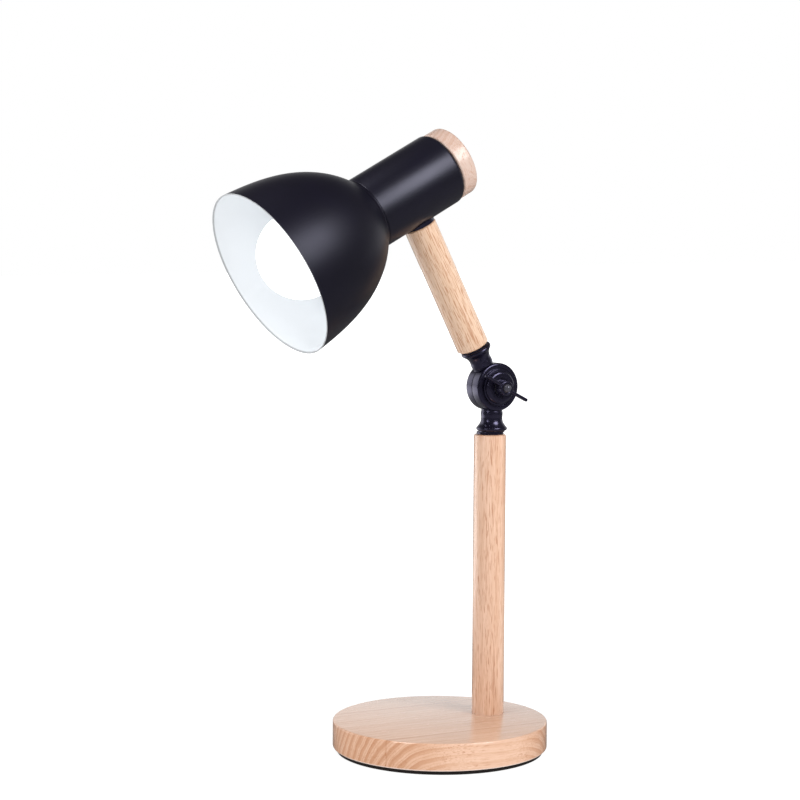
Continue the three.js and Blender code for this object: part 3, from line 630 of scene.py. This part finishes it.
def make_base():
    pad = [(0, 0), (PAD.radius, 0, 0.4), (PAD.radius, PAD.thickness, 0.4), (0, PAD.thickness)]
    add_piece("foot_pad", "base_pad", turned(softened(pad), FINE), AT_BASE, "base", "pad", "pad_foam")
    disc = [
        (0, RECESS.roof),
        (RECESS.radius, RECESS.roof),
        (RECESS.radius, PAD.thickness),
        (BASE.radius, PAD.thickness, BASE.foot_round),
        (BASE.radius, BASE.top, shape_size("base_edge")),
        (0, BASE.top),
    ]
    socket = moved(rod(DOWEL.radius + SOCKET_PLAY, POST.bottom, BASE.top + PAST), AT_POST)
    pipe_way = moved(rod(DOWEL.bore, RECESS.roof - PAST, POST.bottom + PAST, SMALL), AT_POST)
    inlet = rod(BUSHING.radius + SOCKET_PLAY, RECESS.radius - PAST, BASE.radius + PAST, SMALL)
    inlet = moved(inlet, AT_INLET)
    wooden = combined(turned(softened(disc), FINE), "DIFFERENCE", socket, pipe_way, inlet)
    add_piece("wooden_base", "base_disc", wooden, AT_BASE, "base", "wood", "base_wood")
    sleeve = [
        (BUSHING.bore, BUSHING.inner),
        (BUSHING.radius, BUSHING.inner, 0.3),
        (BUSHING.radius, BUSHING.seat),
        (BUSHING.flange, BUSHING.seat),
        (BUSHING.flange, BUSHING.outer, 0.7),
        (BUSHING.bore, BUSHING.outer, 0.7),
    ]
    bushing = turned(softened(sleeve), SMALL)
    add_piece("inlet_bushing", "cord_bushing", bushing, AT_INLET, "base", "black_plastic")


def dowel(bottom, top):
    """A wooden dowel with chamfered ends and a bore for the lamp pipe."""
    edge, soft = shape_size("dowel_edge"), 0.25
    outline = [
        (DOWEL.bore, bottom),
        (DOWEL.radius - edge, bottom, soft),
        (DOWEL.radius, bottom + edge, soft),
        (DOWEL.radius, top - edge, soft),
        (DOWEL.radius - edge, top, soft),
        (DOWEL.bore, top),
    ]
    return turned(softened(outline, 3), FINE)


def make_dowels():
    add_piece("post_dowel", "post", dowel(POST.bottom, POST.top), AT_POST, "base", "wood", "post_wood")
    add_piece("arm_dowel", "upper_arm", dowel(ARM.bottom, ARM.top), AT_ARM, "arm", "wood", "arm_wood")
    washer = [
        (DOWEL.bore, FOOT_WASHER.bottom),
        (FOOT_WASHER.radius, FOOT_WASHER.bottom, 0.4),
        (FOOT_WASHER.radius, FOOT_WASHER.top, 0.4),
        (DOWEL.bore, FOOT_WASHER.top),
    ]
    ring = turned(softened(washer), FINE)
    add_piece("post_washer_ring", "foot_washer", ring, AT_POST, "base", "casting_paint")


# Elbow


def neck_outline():
    """A soft ridge, a narrow waist and a flare that runs out in the bead the dowel seats on."""
    ridge = [
        (NECK.root, DISC.radius),
        (NECK.ridge, NECK.ridge_at - NECK.ridge_half),
        (NECK.ridge, NECK.ridge_at + NECK.ridge_half),
        (NECK.waist, NECK.waist_at),
    ]
    flare = [
        (NECK.waist, NECK.waist_at),
        (NECK.waist, NECK.waist_end),
        (NECK.flare, NECK.flare_from),
        (NECK.flare_wide, NECK.flare_end),
    ]
    edge = (NECK.bead_round, NECK.bead_round)
    return [
        (0, DISC.radius - NECK.sunk),
        (NECK.root, DISC.radius - NECK.sunk),
        *curve_points(ridge, 10),
        *curve_points(flare, 18)[1:],
        *arc_points((NECK.bead, NECK.bead_at), edge, -40, 125, 12),
        (NECK.seat, NECK.end - NECK.seat_height),
        (NECK.seat, NECK.end),
        (0, NECK.end),
    ]


def domed_face(outer):
    """The front half's face: a groove, a step, a dome and a shallow dish round the bolt."""
    step = FACE.groove - FACE.groove_width
    dome_top = step - FACE.step_width - FACE.dome_width
    step_top = outer + FACE.step_height
    crown = step_top + FACE.dome_height
    dish = crown - FACE.dish_depth
    return [
        (FACE.groove, outer, 0.2),
        (FACE.groove, outer - FACE.groove_depth, 0.2),
        (step, outer - FACE.groove_depth, 0.2),
        (step, step_top, 0.4),
        *arc_points((dome_top, step_top), (FACE.dome_width, FACE.dome_height), 0, 90, 14),
        (FACE.dish, crown, 0.25),
        (FACE.dish - FACE.dish_depth, dish, 0.25),
        (BOLT.radius + CLEARANCE, dish),
    ]


def plain_face(outer):
    """The rear half's face, with a sunk seat for the bolt's head."""
    seat = outer - BOLT.sink
    return [(FACE.head_pocket, outer), (FACE.head_pocket, seat), (BOLT.radius + CLEARANCE, seat)]


def swivel_casting(inner, outer, face):
    """Half of the elbow's disc with its neck. The rims of the two halves nearly meet."""
    floor, pocket = outer - DISC.face_wall, DISC.radius - DISC.rim_wall
    rim = inner - DISC.rim_reach
    half = softened([
        (BOLT.radius + CLEARANCE, inner),
        (DISC.hub, inner),
        (DISC.hub + DISC.hub_taper, floor),
        (pocket, floor),
        (pocket, rim),
        (DISC.radius, rim, 0.35),
        (DISC.radius, outer, DISC.round),
        *face(outer),
    ])
    sideways = turned_about("X", 90)
    neck = moved(turned(neck_outline(), ROUND), sideways)
    neck = moved(neck, Matrix.Translation((0, 0, inner - DISC.groove / 2)))
    other_half = rod(DISC.radius + NECK.gap, -NECK.end, inner)
    neck = combined(neck, "DIFFERENCE", other_half)
    bore = moved(rod(DOWEL.bore, NECK.bore_end, NECK.end + PAST, SMALL), sideways)
    body = combined(turned(half, FINE), "UNION", neck)
    return combined(body, "DIFFERENCE", bore)


def wing_nut_mesh():
    """A tapered hub and two wings that widen towards their round tips."""
    bore = BOLT.radius + CLEARANCE
    hub = softened([
        (bore, 0),
        (WING_NUT.hub, 0, 0.5),
        (WING_NUT.hub_top, WING_NUT.height, 1.0),
        (bore, WING_NUT.height, 0.4),
    ])
    tip_round = (WING_NUT.tip_high - WING_NUT.tip_low) / 2
    tip = (shape_size("wing_span") / 2 - tip_round, (WING_NUT.tip_high + WING_NUT.tip_low) / 2)
    root = (bore + WING_NUT.hub_top) / 2
    upper = [(tip[0], WING_NUT.tip_high), (WING_NUT.hub, WING_NUT.root_high), (root, WING_NUT.root_high)]
    wing = [
        (root, WING_NUT.root_low),
        *arc_points(tip, (tip_round, tip_round), -90, 90, 12),
        *curve_points(upper, 10)[1:],
    ]
    thickness = shape_size("wing_thickness")
    wings = [moved(plate(wing, thickness, WING_NUT.edge), turned_about("Z", angle)) for angle in (0, 180)]
    body = combined(turned(hub, ROUND), "UNION", *wings)
    return cast(body, WING_NUT.cast_grain, 4)


def bolt_mesh(head_seat, tip):
    """The elbow's bolt: a domed head, a plain shank and a domed tip."""
    head = (BOLT.head, BOLT.head_height - BOLT.head_edge)
    outline = [
        (0, head_seat - BOLT.head_height),
        *arc_points((0, head_seat - BOLT.head_edge), head, -80, 0, 8),
        (BOLT.head, head_seat),
        (BOLT.radius, head_seat),
        *arc_points((0, tip - BOLT.tip_round), (BOLT.radius, BOLT.tip_round), 0, 84, 12),
        (0, tip),
    ]
    return turned(outline, SMALL)


def make_elbow():
    front_inner = DISC.parting + DISC.groove / 2
    rear_inner = DISC.groove / 2 - DISC.parting
    front_outer, rear_outer = front_inner + DISC.front, rear_inner + DISC.rear
    black = "casting_paint"
    lower = swivel_casting(front_inner, front_outer, domed_face)
    add_piece("lower_casting", "lower_swivel", lower, AT_FRONT_HALF, "base", black, crease=35.0)
    upper = swivel_casting(rear_inner, rear_outer, plain_face)
    add_piece("upper_casting", "upper_swivel", upper, AT_REAR_HALF, "arm", black, crease=35.0)
    dish = front_outer + FACE.step_height + FACE.dome_height - FACE.dish_depth
    nut_seat = dish + WASHER_STACK
    head_seat = BOLT.sink - rear_outer - BOLT.washer
    tip = nut_seat + WING_NUT.height + BOLT.tip_reach
    bolt = bolt_mesh(head_seat, tip)
    # The bolt takes the lifted black, with its painted highlight
    add_piece("elbow_bolt", "swivel_bolt", bolt, AT_FRONT_HALF, "base", black, "bolt_black")
    at_nut = AT_FRONT_HALF @ Matrix.Translation((0, 0, nut_seat)) @ turned_about("Z", WING_NUT.turn)
    add_piece("clamp_wing_nut", "wing_nut", wing_nut_mesh(), at_nut, "clamp_nut", black, crease=180.0)


# Head


def side_way(radius, bottom, top):
    """A cutter for the pipe's way from the arm into the housing."""
    return moved(rod(radius, bottom, top, SMALL), turned_about("Y", -90))


def make_housing():
    outer, wall, rear = HOUSING.radius, HOUSING.wall, -HOUSING.rear
    tube = [
        (REAR_CAP.pilot, rear),
        (outer, rear, HOUSING.rear_round),
        (outer, HOUSING.front, 0.3),
        (outer - wall, HOUSING.front, 0.3),
        (outer - wall, rear + wall, HOUSING.rear_round - wall),
        (REAR_CAP.pilot, rear + wall),
    ]
    hole = side_way(PIPE_WAY.radius, PIPE_WAY.in_housing, PIPE_WAY.end)
    body = combined(turned(softened(tube), FINE), "DIFFERENCE", hole)
    add_piece("housing_tube", "housing", body, AT_HEAD, "head", "shade_paint", "tube_paint")
    barrel = rod(outer + CLEARANCE, -HOUSING.rear, HOUSING.front, FINE)
    plug = side_way(SADDLE.radius, outer - SADDLE.plug, SADDLE.bottom)
    hole = side_way(PIPE_WAY.radius, PIPE_WAY.in_saddle, PIPE_WAY.end)
    saddle = combined(plug, "DIFFERENCE", barrel, hole)
    add_piece("arm_saddle", "head_saddle", saddle, AT_HEAD, "head", "black_plastic", "casting_paint")
    cap = [
        (0, REAR_CAP.rear),
        (REAR_CAP.radius, REAR_CAP.rear, shape_size("cap_edge")),
        (REAR_CAP.radius, REAR_CAP.front - REAR_CAP.chamfer, 0.25),
        (REAR_CAP.radius - REAR_CAP.chamfer, REAR_CAP.front, 0.25),
        (REAR_CAP.pilot, REAR_CAP.front),
        (REAR_CAP.pilot, REAR_CAP.pilot_end),
        (0, REAR_CAP.pilot_end),
    ]
    add_piece("wooden_cap", "rear_cap", turned(softened(cap), FINE), AT_HEAD, "head", "wood", "cap_wood")


def shade_curve(depth, radius, steps):
    """The skirt's curve from the rim down to a radius, moved inwards by a depth."""
    opening = SHADE.skirt * math.tan(math.radians(SHADE.slope))
    controls = [
        (SHADE.rim, SHADE.rim_at - SHADE.lip),
        (SHADE.rim - opening, SHADE.rim_at - SHADE.skirt),
        (SHADE.shoulder, SHADE.shoulder_at),
        (SHADE.pole, SHADE.pole_at),
    ]
    samples = [Vector(point) for point in curve_points(controls, 600)]
    inset = []
    for here, ahead in zip(samples, samples[1:]):
        along = (ahead - here).normalized()
        inset.append(here + Vector((along.y, -along.x)) * depth)
    kept = [point for point in inset if point.x > radius]
    picks = [round(step * (len(kept) - 1) / steps) for step in range(steps + 1)]
    return [tuple(kept[pick]) for pick in picks]


def make_shade():
    outside = shade_curve(0.0, SHADE.joint, 48)[::-1]
    inside = shade_curve(SHADE.wall, SHADE.spigot_bore, 44)
    radius, neck = HOUSING.radius, SHADE.neck
    blend = curve_points([(radius, neck), (radius, (neck + outside[0][1]) / 2), outside[0]], 6)
    black = [(SHADE.hole, SHADE.back), (SHADE.spigot, SHADE.back), (SHADE.spigot, neck)]
    black += blend + outside[1:]
    half = SHADE.wall / 2
    lip = arc_points((SHADE.rim - half, SHADE.rim_at - SHADE.lip), (half, SHADE.lip), 20, 160, 5)
    front = SHADE.back + SHADE.wall
    white = lip + inside[1:] + [(SHADE.spigot_bore, front), (SHADE.hole, front)]
    shell = turned(black + white, FINE, lining=len(black) - 1)
    paints = ("shade_paint", "shade_lining")
    add_piece("shade_shell", "shade", shell, AT_HEAD, "head", "shade_paint", *paints, crease=50.0)


def make_holder():
    ring = softened([
        (RING.bore, RING.bottom),
        (RING.radius, RING.bottom),
        (RING.radius, RING.top, 0.5),
        (RING.bore, RING.top, 0.3),
    ])
    notches = []
    lift = Matrix.Translation((0, 0, RING.top)) @ turned_about("Y", 90)
    for number in range(RING.notches):
        notch = rod(RING.notch_half, RING.radius - RING.notch, RING.radius + PAST, 4)
        notches.append(moved(notch, turned_about("Z", 360 / RING.notches * number) @ lift))
    collar = combined(turned(ring, ROUND), "DIFFERENCE", *notches)
    add_piece("shade_clamp_ring", "shade_ring", collar, AT_HEAD, "head", "black_plastic")
    holder = softened([
        (HOLDER.bore, HOLDER.rear),
        (HOLDER.radius, HOLDER.rear, 1.2),
        (HOLDER.radius, HOLDER.flange_rear),
        (HOLDER.flange, HOLDER.flange_rear, 0.3),
        (HOLDER.flange, HOLDER.flange_front, 0.3),
        (HOLDER.skirt, HOLDER.flange_front),
        (HOLDER.skirt, HOLDER.mouth, 0.6),
        (HOLDER.mouth_radius, HOLDER.mouth, 0.6),
        (HOLDER.mouth_radius, HOLDER.floor),
        (HOLDER.bore, HOLDER.floor),
    ])
    body = turned(holder, ROUND)
    add_piece("bulb_holder", "lamp_holder", body, AT_HEAD, "head", "black_plastic")


def threaded_cap():
    """The bulb's screw cap, with its rolled thread."""
    bottom, top, steps = BULB.insulator + CLEARANCE, BULB.cap_end, 90
    heights = [bottom + (top - bottom) * step / steps for step in range(steps + 1)]

    def thread(radius, height, angle):
        fade = min(1.0, (height - bottom) / BULB.run_in, (top - height) / BULB.run_out)
        crest = 0.5 - 0.5 * math.cos(2 * math.pi * height / BULB.thread_pitch - angle)
        return radius - BULB.thread_depth * (1 - crest) * fade - BULB.thread_play

    outline = [(0, bottom), *[(BULB.cap, height) for height in heights], (0, top)]
    return turned(outline, 72, wave=thread)


def make_bulb():
    seam, top, centre, radius = BULB.seam, BULB.collar_top, BULB.globe_at, BULB.globe
    halfway = ((BULB.neck + seam) / 2, (BULB.neck_top + top) / 2)
    widening = curve_points([(BULB.neck, BULB.neck_top), halfway, (seam, top)], 20)
    collar = softened([(0, BULB.collar), (BULB.cap, BULB.collar, 0.4), *widening, (0, top)])
    skirt = turned(collar, ROUND)
    add_piece("bulb_skirt", "bulb_collar", skirt, AT_HEAD, "bulb", "white_plastic")
    add_piece("bulb_screw_cap", "bulb_cap", threaded_cap(), AT_HEAD, "bulb", "steel")
    inner = radius - BULB.wall
    low = math.degrees(math.asin((top + CLEARANCE - centre) / radius))
    low_inside = math.degrees(math.asin((top + CLEARANCE - centre) / inner))
    outline = arc_points((0, centre), (radius, radius), low, 90, 40)[:-1] + [(0, centre + radius)]
    outline += [(0, centre + inner)] + arc_points((0, centre), (inner, inner), 90, low_inside, 30)[1:]
    globe = turned(outline, FINE)
    add_piece("opal_globe", "bulb_globe", globe, AT_HEAD, "bulb", "opal", crease=60.0)


# Pieces that keep their solids

KEPT_NODES = {
    "steel": [
        "base_weight", "weight_screw_1", "weight_screw_2", "weight_screw_3", "post_pipe", "post_washer",
        "post_nut", "bolt_washer", "spring_washer", "arm_pipe", "head_washer", "head_nut", "cap_screw",
        "holder_bracket", "holder_nipple", "holder_nut",
    ],
    "black_plastic": ["friction_washer", "bulb_tip"],
    "brass": ["holder_shell", "centre_contact"],
    "board": ["led_board"],
}


def dress_kept_nodes():
    for finish, nodes in KEPT_NODES.items():
        for node in nodes:
            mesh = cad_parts[node].data
            mesh.materials.clear()
            mesh.materials.append(finish_named(finish))


# Stage

CAMERA = Named(place=(-944.995, -1464.544, 425.295), aim=(-36.35, 0.0, 264.3), roll=0.28, lens=106.657)
# Each light's azimuth, 0 in front and 90 towards +X, elevation, distance and size, in degrees and metres
LIGHTS = {"key": (19, 36, 1.7, 0.9), "top": (-95, 60, 1.6, 0.5), "rim": (-78, 20, 1.6, 0.35)}
LIGHTS_AIM = (-0.04, 0, 0.25)
# Where the backdrop and the wall beside it stand, seen from the lamp
BACKDROP = (0.527, 0.85, 0.0)
LEFT_WALL = (-0.551, 0.787, 0.276)
# The floor's lit lane runs back from the lamp, away from the photograph's viewpoint. Millimetres.
LANE_ALONG, LANE_ACROSS = (-0.469, 0.883, 0), (0.883, 0.469, 0)
LANE = Named(start=200, full=900, widening=0.22, fade=450)
CLEAR_FLOOR = Named(start=120, full=420, share=0.5)
FLOOR = Named(size=8000, drop=0.2, dark=(0.20, 0.20, 0.20), pale=(0.22, 0.22, 0.22))


def make_camera():
    place, aim = Vector(CAMERA.place), Vector(CAMERA.aim)
    ahead = (aim - place).normalized()
    across = ahead.cross(Vector((0, 0, 1))).normalized()
    upward = across.cross(ahead)
    roll = math.radians(CAMERA.roll)
    right = across * math.cos(roll) + upward * math.sin(roll)
    top = upward * math.cos(roll) - across * math.sin(roll)
    camera = held("camera", bpy.data.cameras.new("camera"))
    turn = Matrix((right, top, -ahead)).transposed().to_4x4()
    camera.matrix_world = Matrix.Translation(place * 0.001) @ turn
    camera.data.sensor_width = 36.0
    camera.data.lens = CAMERA.lens
    camera.data.clip_start, camera.data.clip_end = 0.05, 60.0
    bpy.context.scene.camera = camera


def make_light(name, radiance, azimuth, elevation, distance, size):
    """A soft square light that faces the lamp's middle."""
    side, height = math.radians(azimuth), math.radians(elevation)
    away = Vector((math.sin(side) * math.cos(height), -math.cos(side) * math.cos(height), math.sin(height)))
    light = bpy.data.lights.new(name, "AREA")
    light.shape, light.size = "SQUARE", size
    light.energy = radiance * math.pi * size * size
    holder = held(name, light)
    place = Matrix.Translation(Vector(LIGHTS_AIM) + away * distance)
    holder.matrix_world = place @ away.to_track_quat("Z", "Y").to_matrix().to_4x4()
    holder.visible_camera = False


def ray_kinds(finish, *kinds):
    return [finish.node("ShaderNodeLightPath", {}, {}, f"Is {kind} Ray") for kind in kinds]


def make_world():
    """White to the camera. Reflections see a white backdrop behind the lamp, a brighter wall on its
    left and a dim room in front, and matt surfaces get an even light."""
    stage = bpy.context.scene.lamp_stage
    world = bpy.data.worlds.new("studio")
    bpy.context.scene.world = world
    finish = Finish(world)
    direction = Place(finish, finish.node("ShaderNodeTexCoord", {}, {}, "Generated").socket)
    low = 1.0 - direction.along((0.0, 0.0, 1.0)).rising(0.15, 0.6)
    behind = direction.along(BACKDROP).rising(0.1, 0.9) * low
    left = direction.along(LEFT_WALL).rising(0.92, 0.985)
    mirrored = behind * stage.backdrop + left * stage.left_wall + stage.room
    seen, glossy, through = ray_kinds(finish, "Camera", "Glossy", "Transmission")
    matt = (1.0 - seen - glossy - through).clipped()
    even = (low * 0.9 + 0.1) * stage.fill + left * stage.left_wall
    strength = seen + (glossy + through) * mirrored + matt * even
    light = finish.node("ShaderNodeBackground", {}, {"Color": (1, 1, 1, 1), "Strength": strength})
    finish.node("ShaderNodeOutputWorld", {}, {"Surface": light})


def make_floor():
    """A white floor that clips to white for the camera except where the base shades it."""
    work = bmesh.new()
    bmesh.ops.create_grid(work, x_segments=24, y_segments=24, size=FLOOR.size)
    mesh = moved(as_mesh(work), METRES @ Matrix.Translation((0, 0, -FLOOR.drop)))
    finish = new_finish("floor")
    place = finish.local(AT_BASE)
    tone = finish.mixed(finish.noise(place, 0.02, 2.0), tinted(FLOOR.dark), tinted(FLOOR.pale))
    matt = finish.node("ShaderNodeBsdfDiffuse", {}, {"Color": tone})
    seen, glossy = ray_kinds(finish, "Camera", "Glossy")
    along, across = place.along(LANE_ALONG), place.along(LANE_ACROSS)
    beside = (across.size() - along * LANE.widening).rising(0, LANE.fade)
    lane = along.rising(LANE.start, LANE.full) * (1.0 - beside)
    stage = bpy.context.scene.lamp_stage
    away = place.number("LENGTH", (0, 0, 0))
    clear = away.rising(CLEAR_FLOOR.start, CLEAR_FLOOR.full) * CLEAR_FLOOR.share
    lit = (1.0 - glossy) * stage.floor_lift + seen * clear + glossy * lane * stage.floor_glow
    lift = finish.node("ShaderNodeEmission", {}, {"Strength": lit})
    both = finish.node("ShaderNodeAddShader", {}, {0: matt, 1: lift})
    finish.node("ShaderNodeOutputMaterial", {}, {"Surface": both})
    mesh.materials.append(finish.owner)
    held("floor", mesh)


def make_stage():
    make_camera()
    make_world()
    make_floor()
    for name, setup in LIGHTS.items():
        make_light(f"{name}_light", getattr(bpy.context.scene.lamp_stage, name), *setup)
    bpy.context.scene.view_settings.view_transform = "Standard"


# Settings, operators and panel


def colour_setting(name, description, default):
    return FloatVectorProperty(
        name=name, description=description, default=default, subtype="COLOR", size=3, min=0.0, max=1.0
    )


def share_setting(name, description, default, highest=1.0):
    return FloatProperty(name=name, description=description, default=default, min=0.0, max=highest)


def size_setting(name, description, default):
    return FloatProperty(
        name=name, description=description, default=default, min=0.0, unit="LENGTH", precision=5
    )


class LampShape(bpy.types.PropertyGroup):
    base_edge: size_setting("Base edge", "Radius of the base's upper edge", 0.0012)
    dowel_edge: size_setting("Dowel chamfer", "Chamfer at the ends of the post and the arm", 0.0008)
    cap_edge: size_setting("Cap edge", "Radius of the wooden cap's rear edge", 0.0024)
    wing_span: size_setting("Wing span", "Width of the wing nut from tip to tip", 0.0424)
    wing_thickness: size_setting("Wing thickness", "Thickness of the wing nut's wings", 0.0022)


class LampWood(bpy.types.PropertyGroup):
    light: colour_setting("Light wood", "Colour of the early wood", (0.77, 0.515, 0.38))
    middle: colour_setting("Middle wood", "Colour of the late wood", (0.61, 0.345, 0.215))
    dark: colour_setting("Dark wood", "Colour of the vessels and the glue lines", (0.40, 0.15, 0.055))
    roughness: share_setting("Lacquer roughness", "How dull the wood under the lacquer is", 0.2)
    lacquer: share_setting("Lacquer", "How much clear lacquer lies on the wood", 1.0)


class LampPaint(bpy.types.PropertyGroup):
    black: colour_setting("Black paint", "Colour of the head and the castings", (0.0042, 0.0034, 0.0090))
    sheen: colour_setting("Sheen", "Tint of the reflections in the black paint", (0.80, 0.80, 1.0))
    white: colour_setting("White paint", "Colour of the shade's inside", (0.71, 0.735, 0.76))
    satin: share_setting("Satin roughness", "How dull the housing's paint is", 0.3)
    gloss: share_setting("Casting roughness", "How dull the castings' paint is", 0.24)


class LampBulb(bpy.types.PropertyGroup):
    glow: share_setting("Glow", "Strength of the opal globe's light", 1.3, 10.0)


class LampStage(bpy.types.PropertyGroup):
    key: share_setting("Key light", "Radiance of the soft key light", 7.2, 50.0)
    top: share_setting("Top light", "Radiance of the soft light above", 14.0, 50.0)
    rim: share_setting("Rim light", "Radiance of the small light on the left", 7.0, 50.0)
    fill: share_setting("Fill", "Even light on matt surfaces", 1.65, 10.0)
    room: share_setting("Room", "Brightness of the room in reflections", 0.08, 10.0)
    backdrop: share_setting("Backdrop", "Brightness of the backdrop in reflections", 0.78, 10.0)
    left_wall: share_setting("Left wall", "Brightness added behind on the left", 1.2, 10.0)
    floor_lift: share_setting("Floor lift", "Brightness added to the floor's matt light", 0.88, 10.0)
    floor_glow: share_setting("Floor glow", "Brightness of the lit floor behind on the left", 2.0, 10.0)


class LAMP_OT_base(bpy.types.Operator):
    """Builds the pad, the wooden base and its bushing"""

    bl_idname = "lamp.base"
    bl_label = "Base"

    def execute(self, context):
        make_base()
        return {"FINISHED"}


class LAMP_OT_dowels(bpy.types.Operator):
    """Builds the post, the arm and the washer between the post and the elbow"""

    bl_idname = "lamp.dowels"
    bl_label = "Dowels"

    def execute(self, context):
        make_dowels()
        return {"FINISHED"}


class LAMP_OT_elbow(bpy.types.Operator):
    """Builds the two castings, the bolt and the wing nut"""

    bl_idname = "lamp.elbow"
    bl_label = "Elbow"

    def execute(self, context):
        make_elbow()
        return {"FINISHED"}


class LAMP_OT_housing(bpy.types.Operator):
    """Builds the housing, its saddle and the wooden cap"""

    bl_idname = "lamp.housing"
    bl_label = "Housing"

    def execute(self, context):
        make_housing()
        return {"FINISHED"}


class LAMP_OT_shade(bpy.types.Operator):
    """Builds the spun shade with its white inside"""

    bl_idname = "lamp.shade"
    bl_label = "Shade"

    def execute(self, context):
        make_shade()
        return {"FINISHED"}


class LAMP_OT_holder(bpy.types.Operator):
    """Builds the lamp holder and the ring that clamps the shade"""

    bl_idname = "lamp.holder"
    bl_label = "Holder"

    def execute(self, context):
        make_holder()
        return {"FINISHED"}


class LAMP_OT_bulb(bpy.types.Operator):
    """Builds the bulb's globe, skirt and screw cap"""

    bl_idname = "lamp.bulb"
    bl_label = "Bulb"

    def execute(self, context):
        make_bulb()
        return {"FINISHED"}


class LAMP_OT_kept_solids(bpy.types.Operator):
    """Gives the solids that stay their finishes"""

    bl_idname = "lamp.kept_solids"
    bl_label = "Kept solids"

    def execute(self, context):
        dress_kept_nodes()
        return {"FINISHED"}


class LAMP_OT_stage(bpy.types.Operator):
    """Builds the camera, the floor and the lights"""

    bl_idname = "lamp.stage"
    bl_label = "Stage"

    def execute(self, context):
        make_stage()
        return {"FINISHED"}


OPERATORS = [
    LAMP_OT_base, LAMP_OT_dowels, LAMP_OT_elbow, LAMP_OT_housing, LAMP_OT_shade, LAMP_OT_holder,
    LAMP_OT_bulb, LAMP_OT_kept_solids, LAMP_OT_stage,
]


class LAMP_PT_panel(bpy.types.Panel):
    """Lists the lamp's settings and its making steps."""

    bl_label = "Desk lamp"
    bl_idname = "LAMP_PT_panel"
    bl_space_type = "VIEW_3D"
    bl_region_type = "UI"
    bl_category = "Lamp"

    def draw(self, context):
        for group in GROUPS:
            settings = getattr(context.scene, group)
            box = self.layout.box()
            for name in settings.bl_rna.properties.keys():
                if name not in ("rna_type", "name"):
                    box.prop(settings, name)
        for step in OPERATORS:
            self.layout.operator(step.bl_idname)


GROUPS = {
    "lamp_shape": LampShape, "lamp_wood": LampWood, "lamp_paint": LampPaint, "lamp_bulb": LampBulb,
    "lamp_stage": LampStage,
}


def register():
    for group, settings in GROUPS.items():
        bpy.utils.register_class(settings)
        setattr(bpy.types.Scene, group, PointerProperty(type=settings))
    for step in [*OPERATORS, LAMP_PT_panel]:
        bpy.utils.register_class(step)


def unregister():
    for step in reversed([*OPERATORS, LAMP_PT_panel]):
        bpy.utils.unregister_class(step)
    for group, settings in GROUPS.items():
        delattr(bpy.types.Scene, group)
        bpy.utils.unregister_class(settings)


def main():
    register()
    bpy.ops.lamp.base()
    bpy.ops.lamp.dowels()
    bpy.ops.lamp.elbow()
    bpy.ops.lamp.housing()
    bpy.ops.lamp.shade()
    bpy.ops.lamp.holder()
    bpy.ops.lamp.bulb()
    bpy.ops.lamp.kept_solids()
    bpy.ops.lamp.stage()


if __name__ == "__main__":
    main()
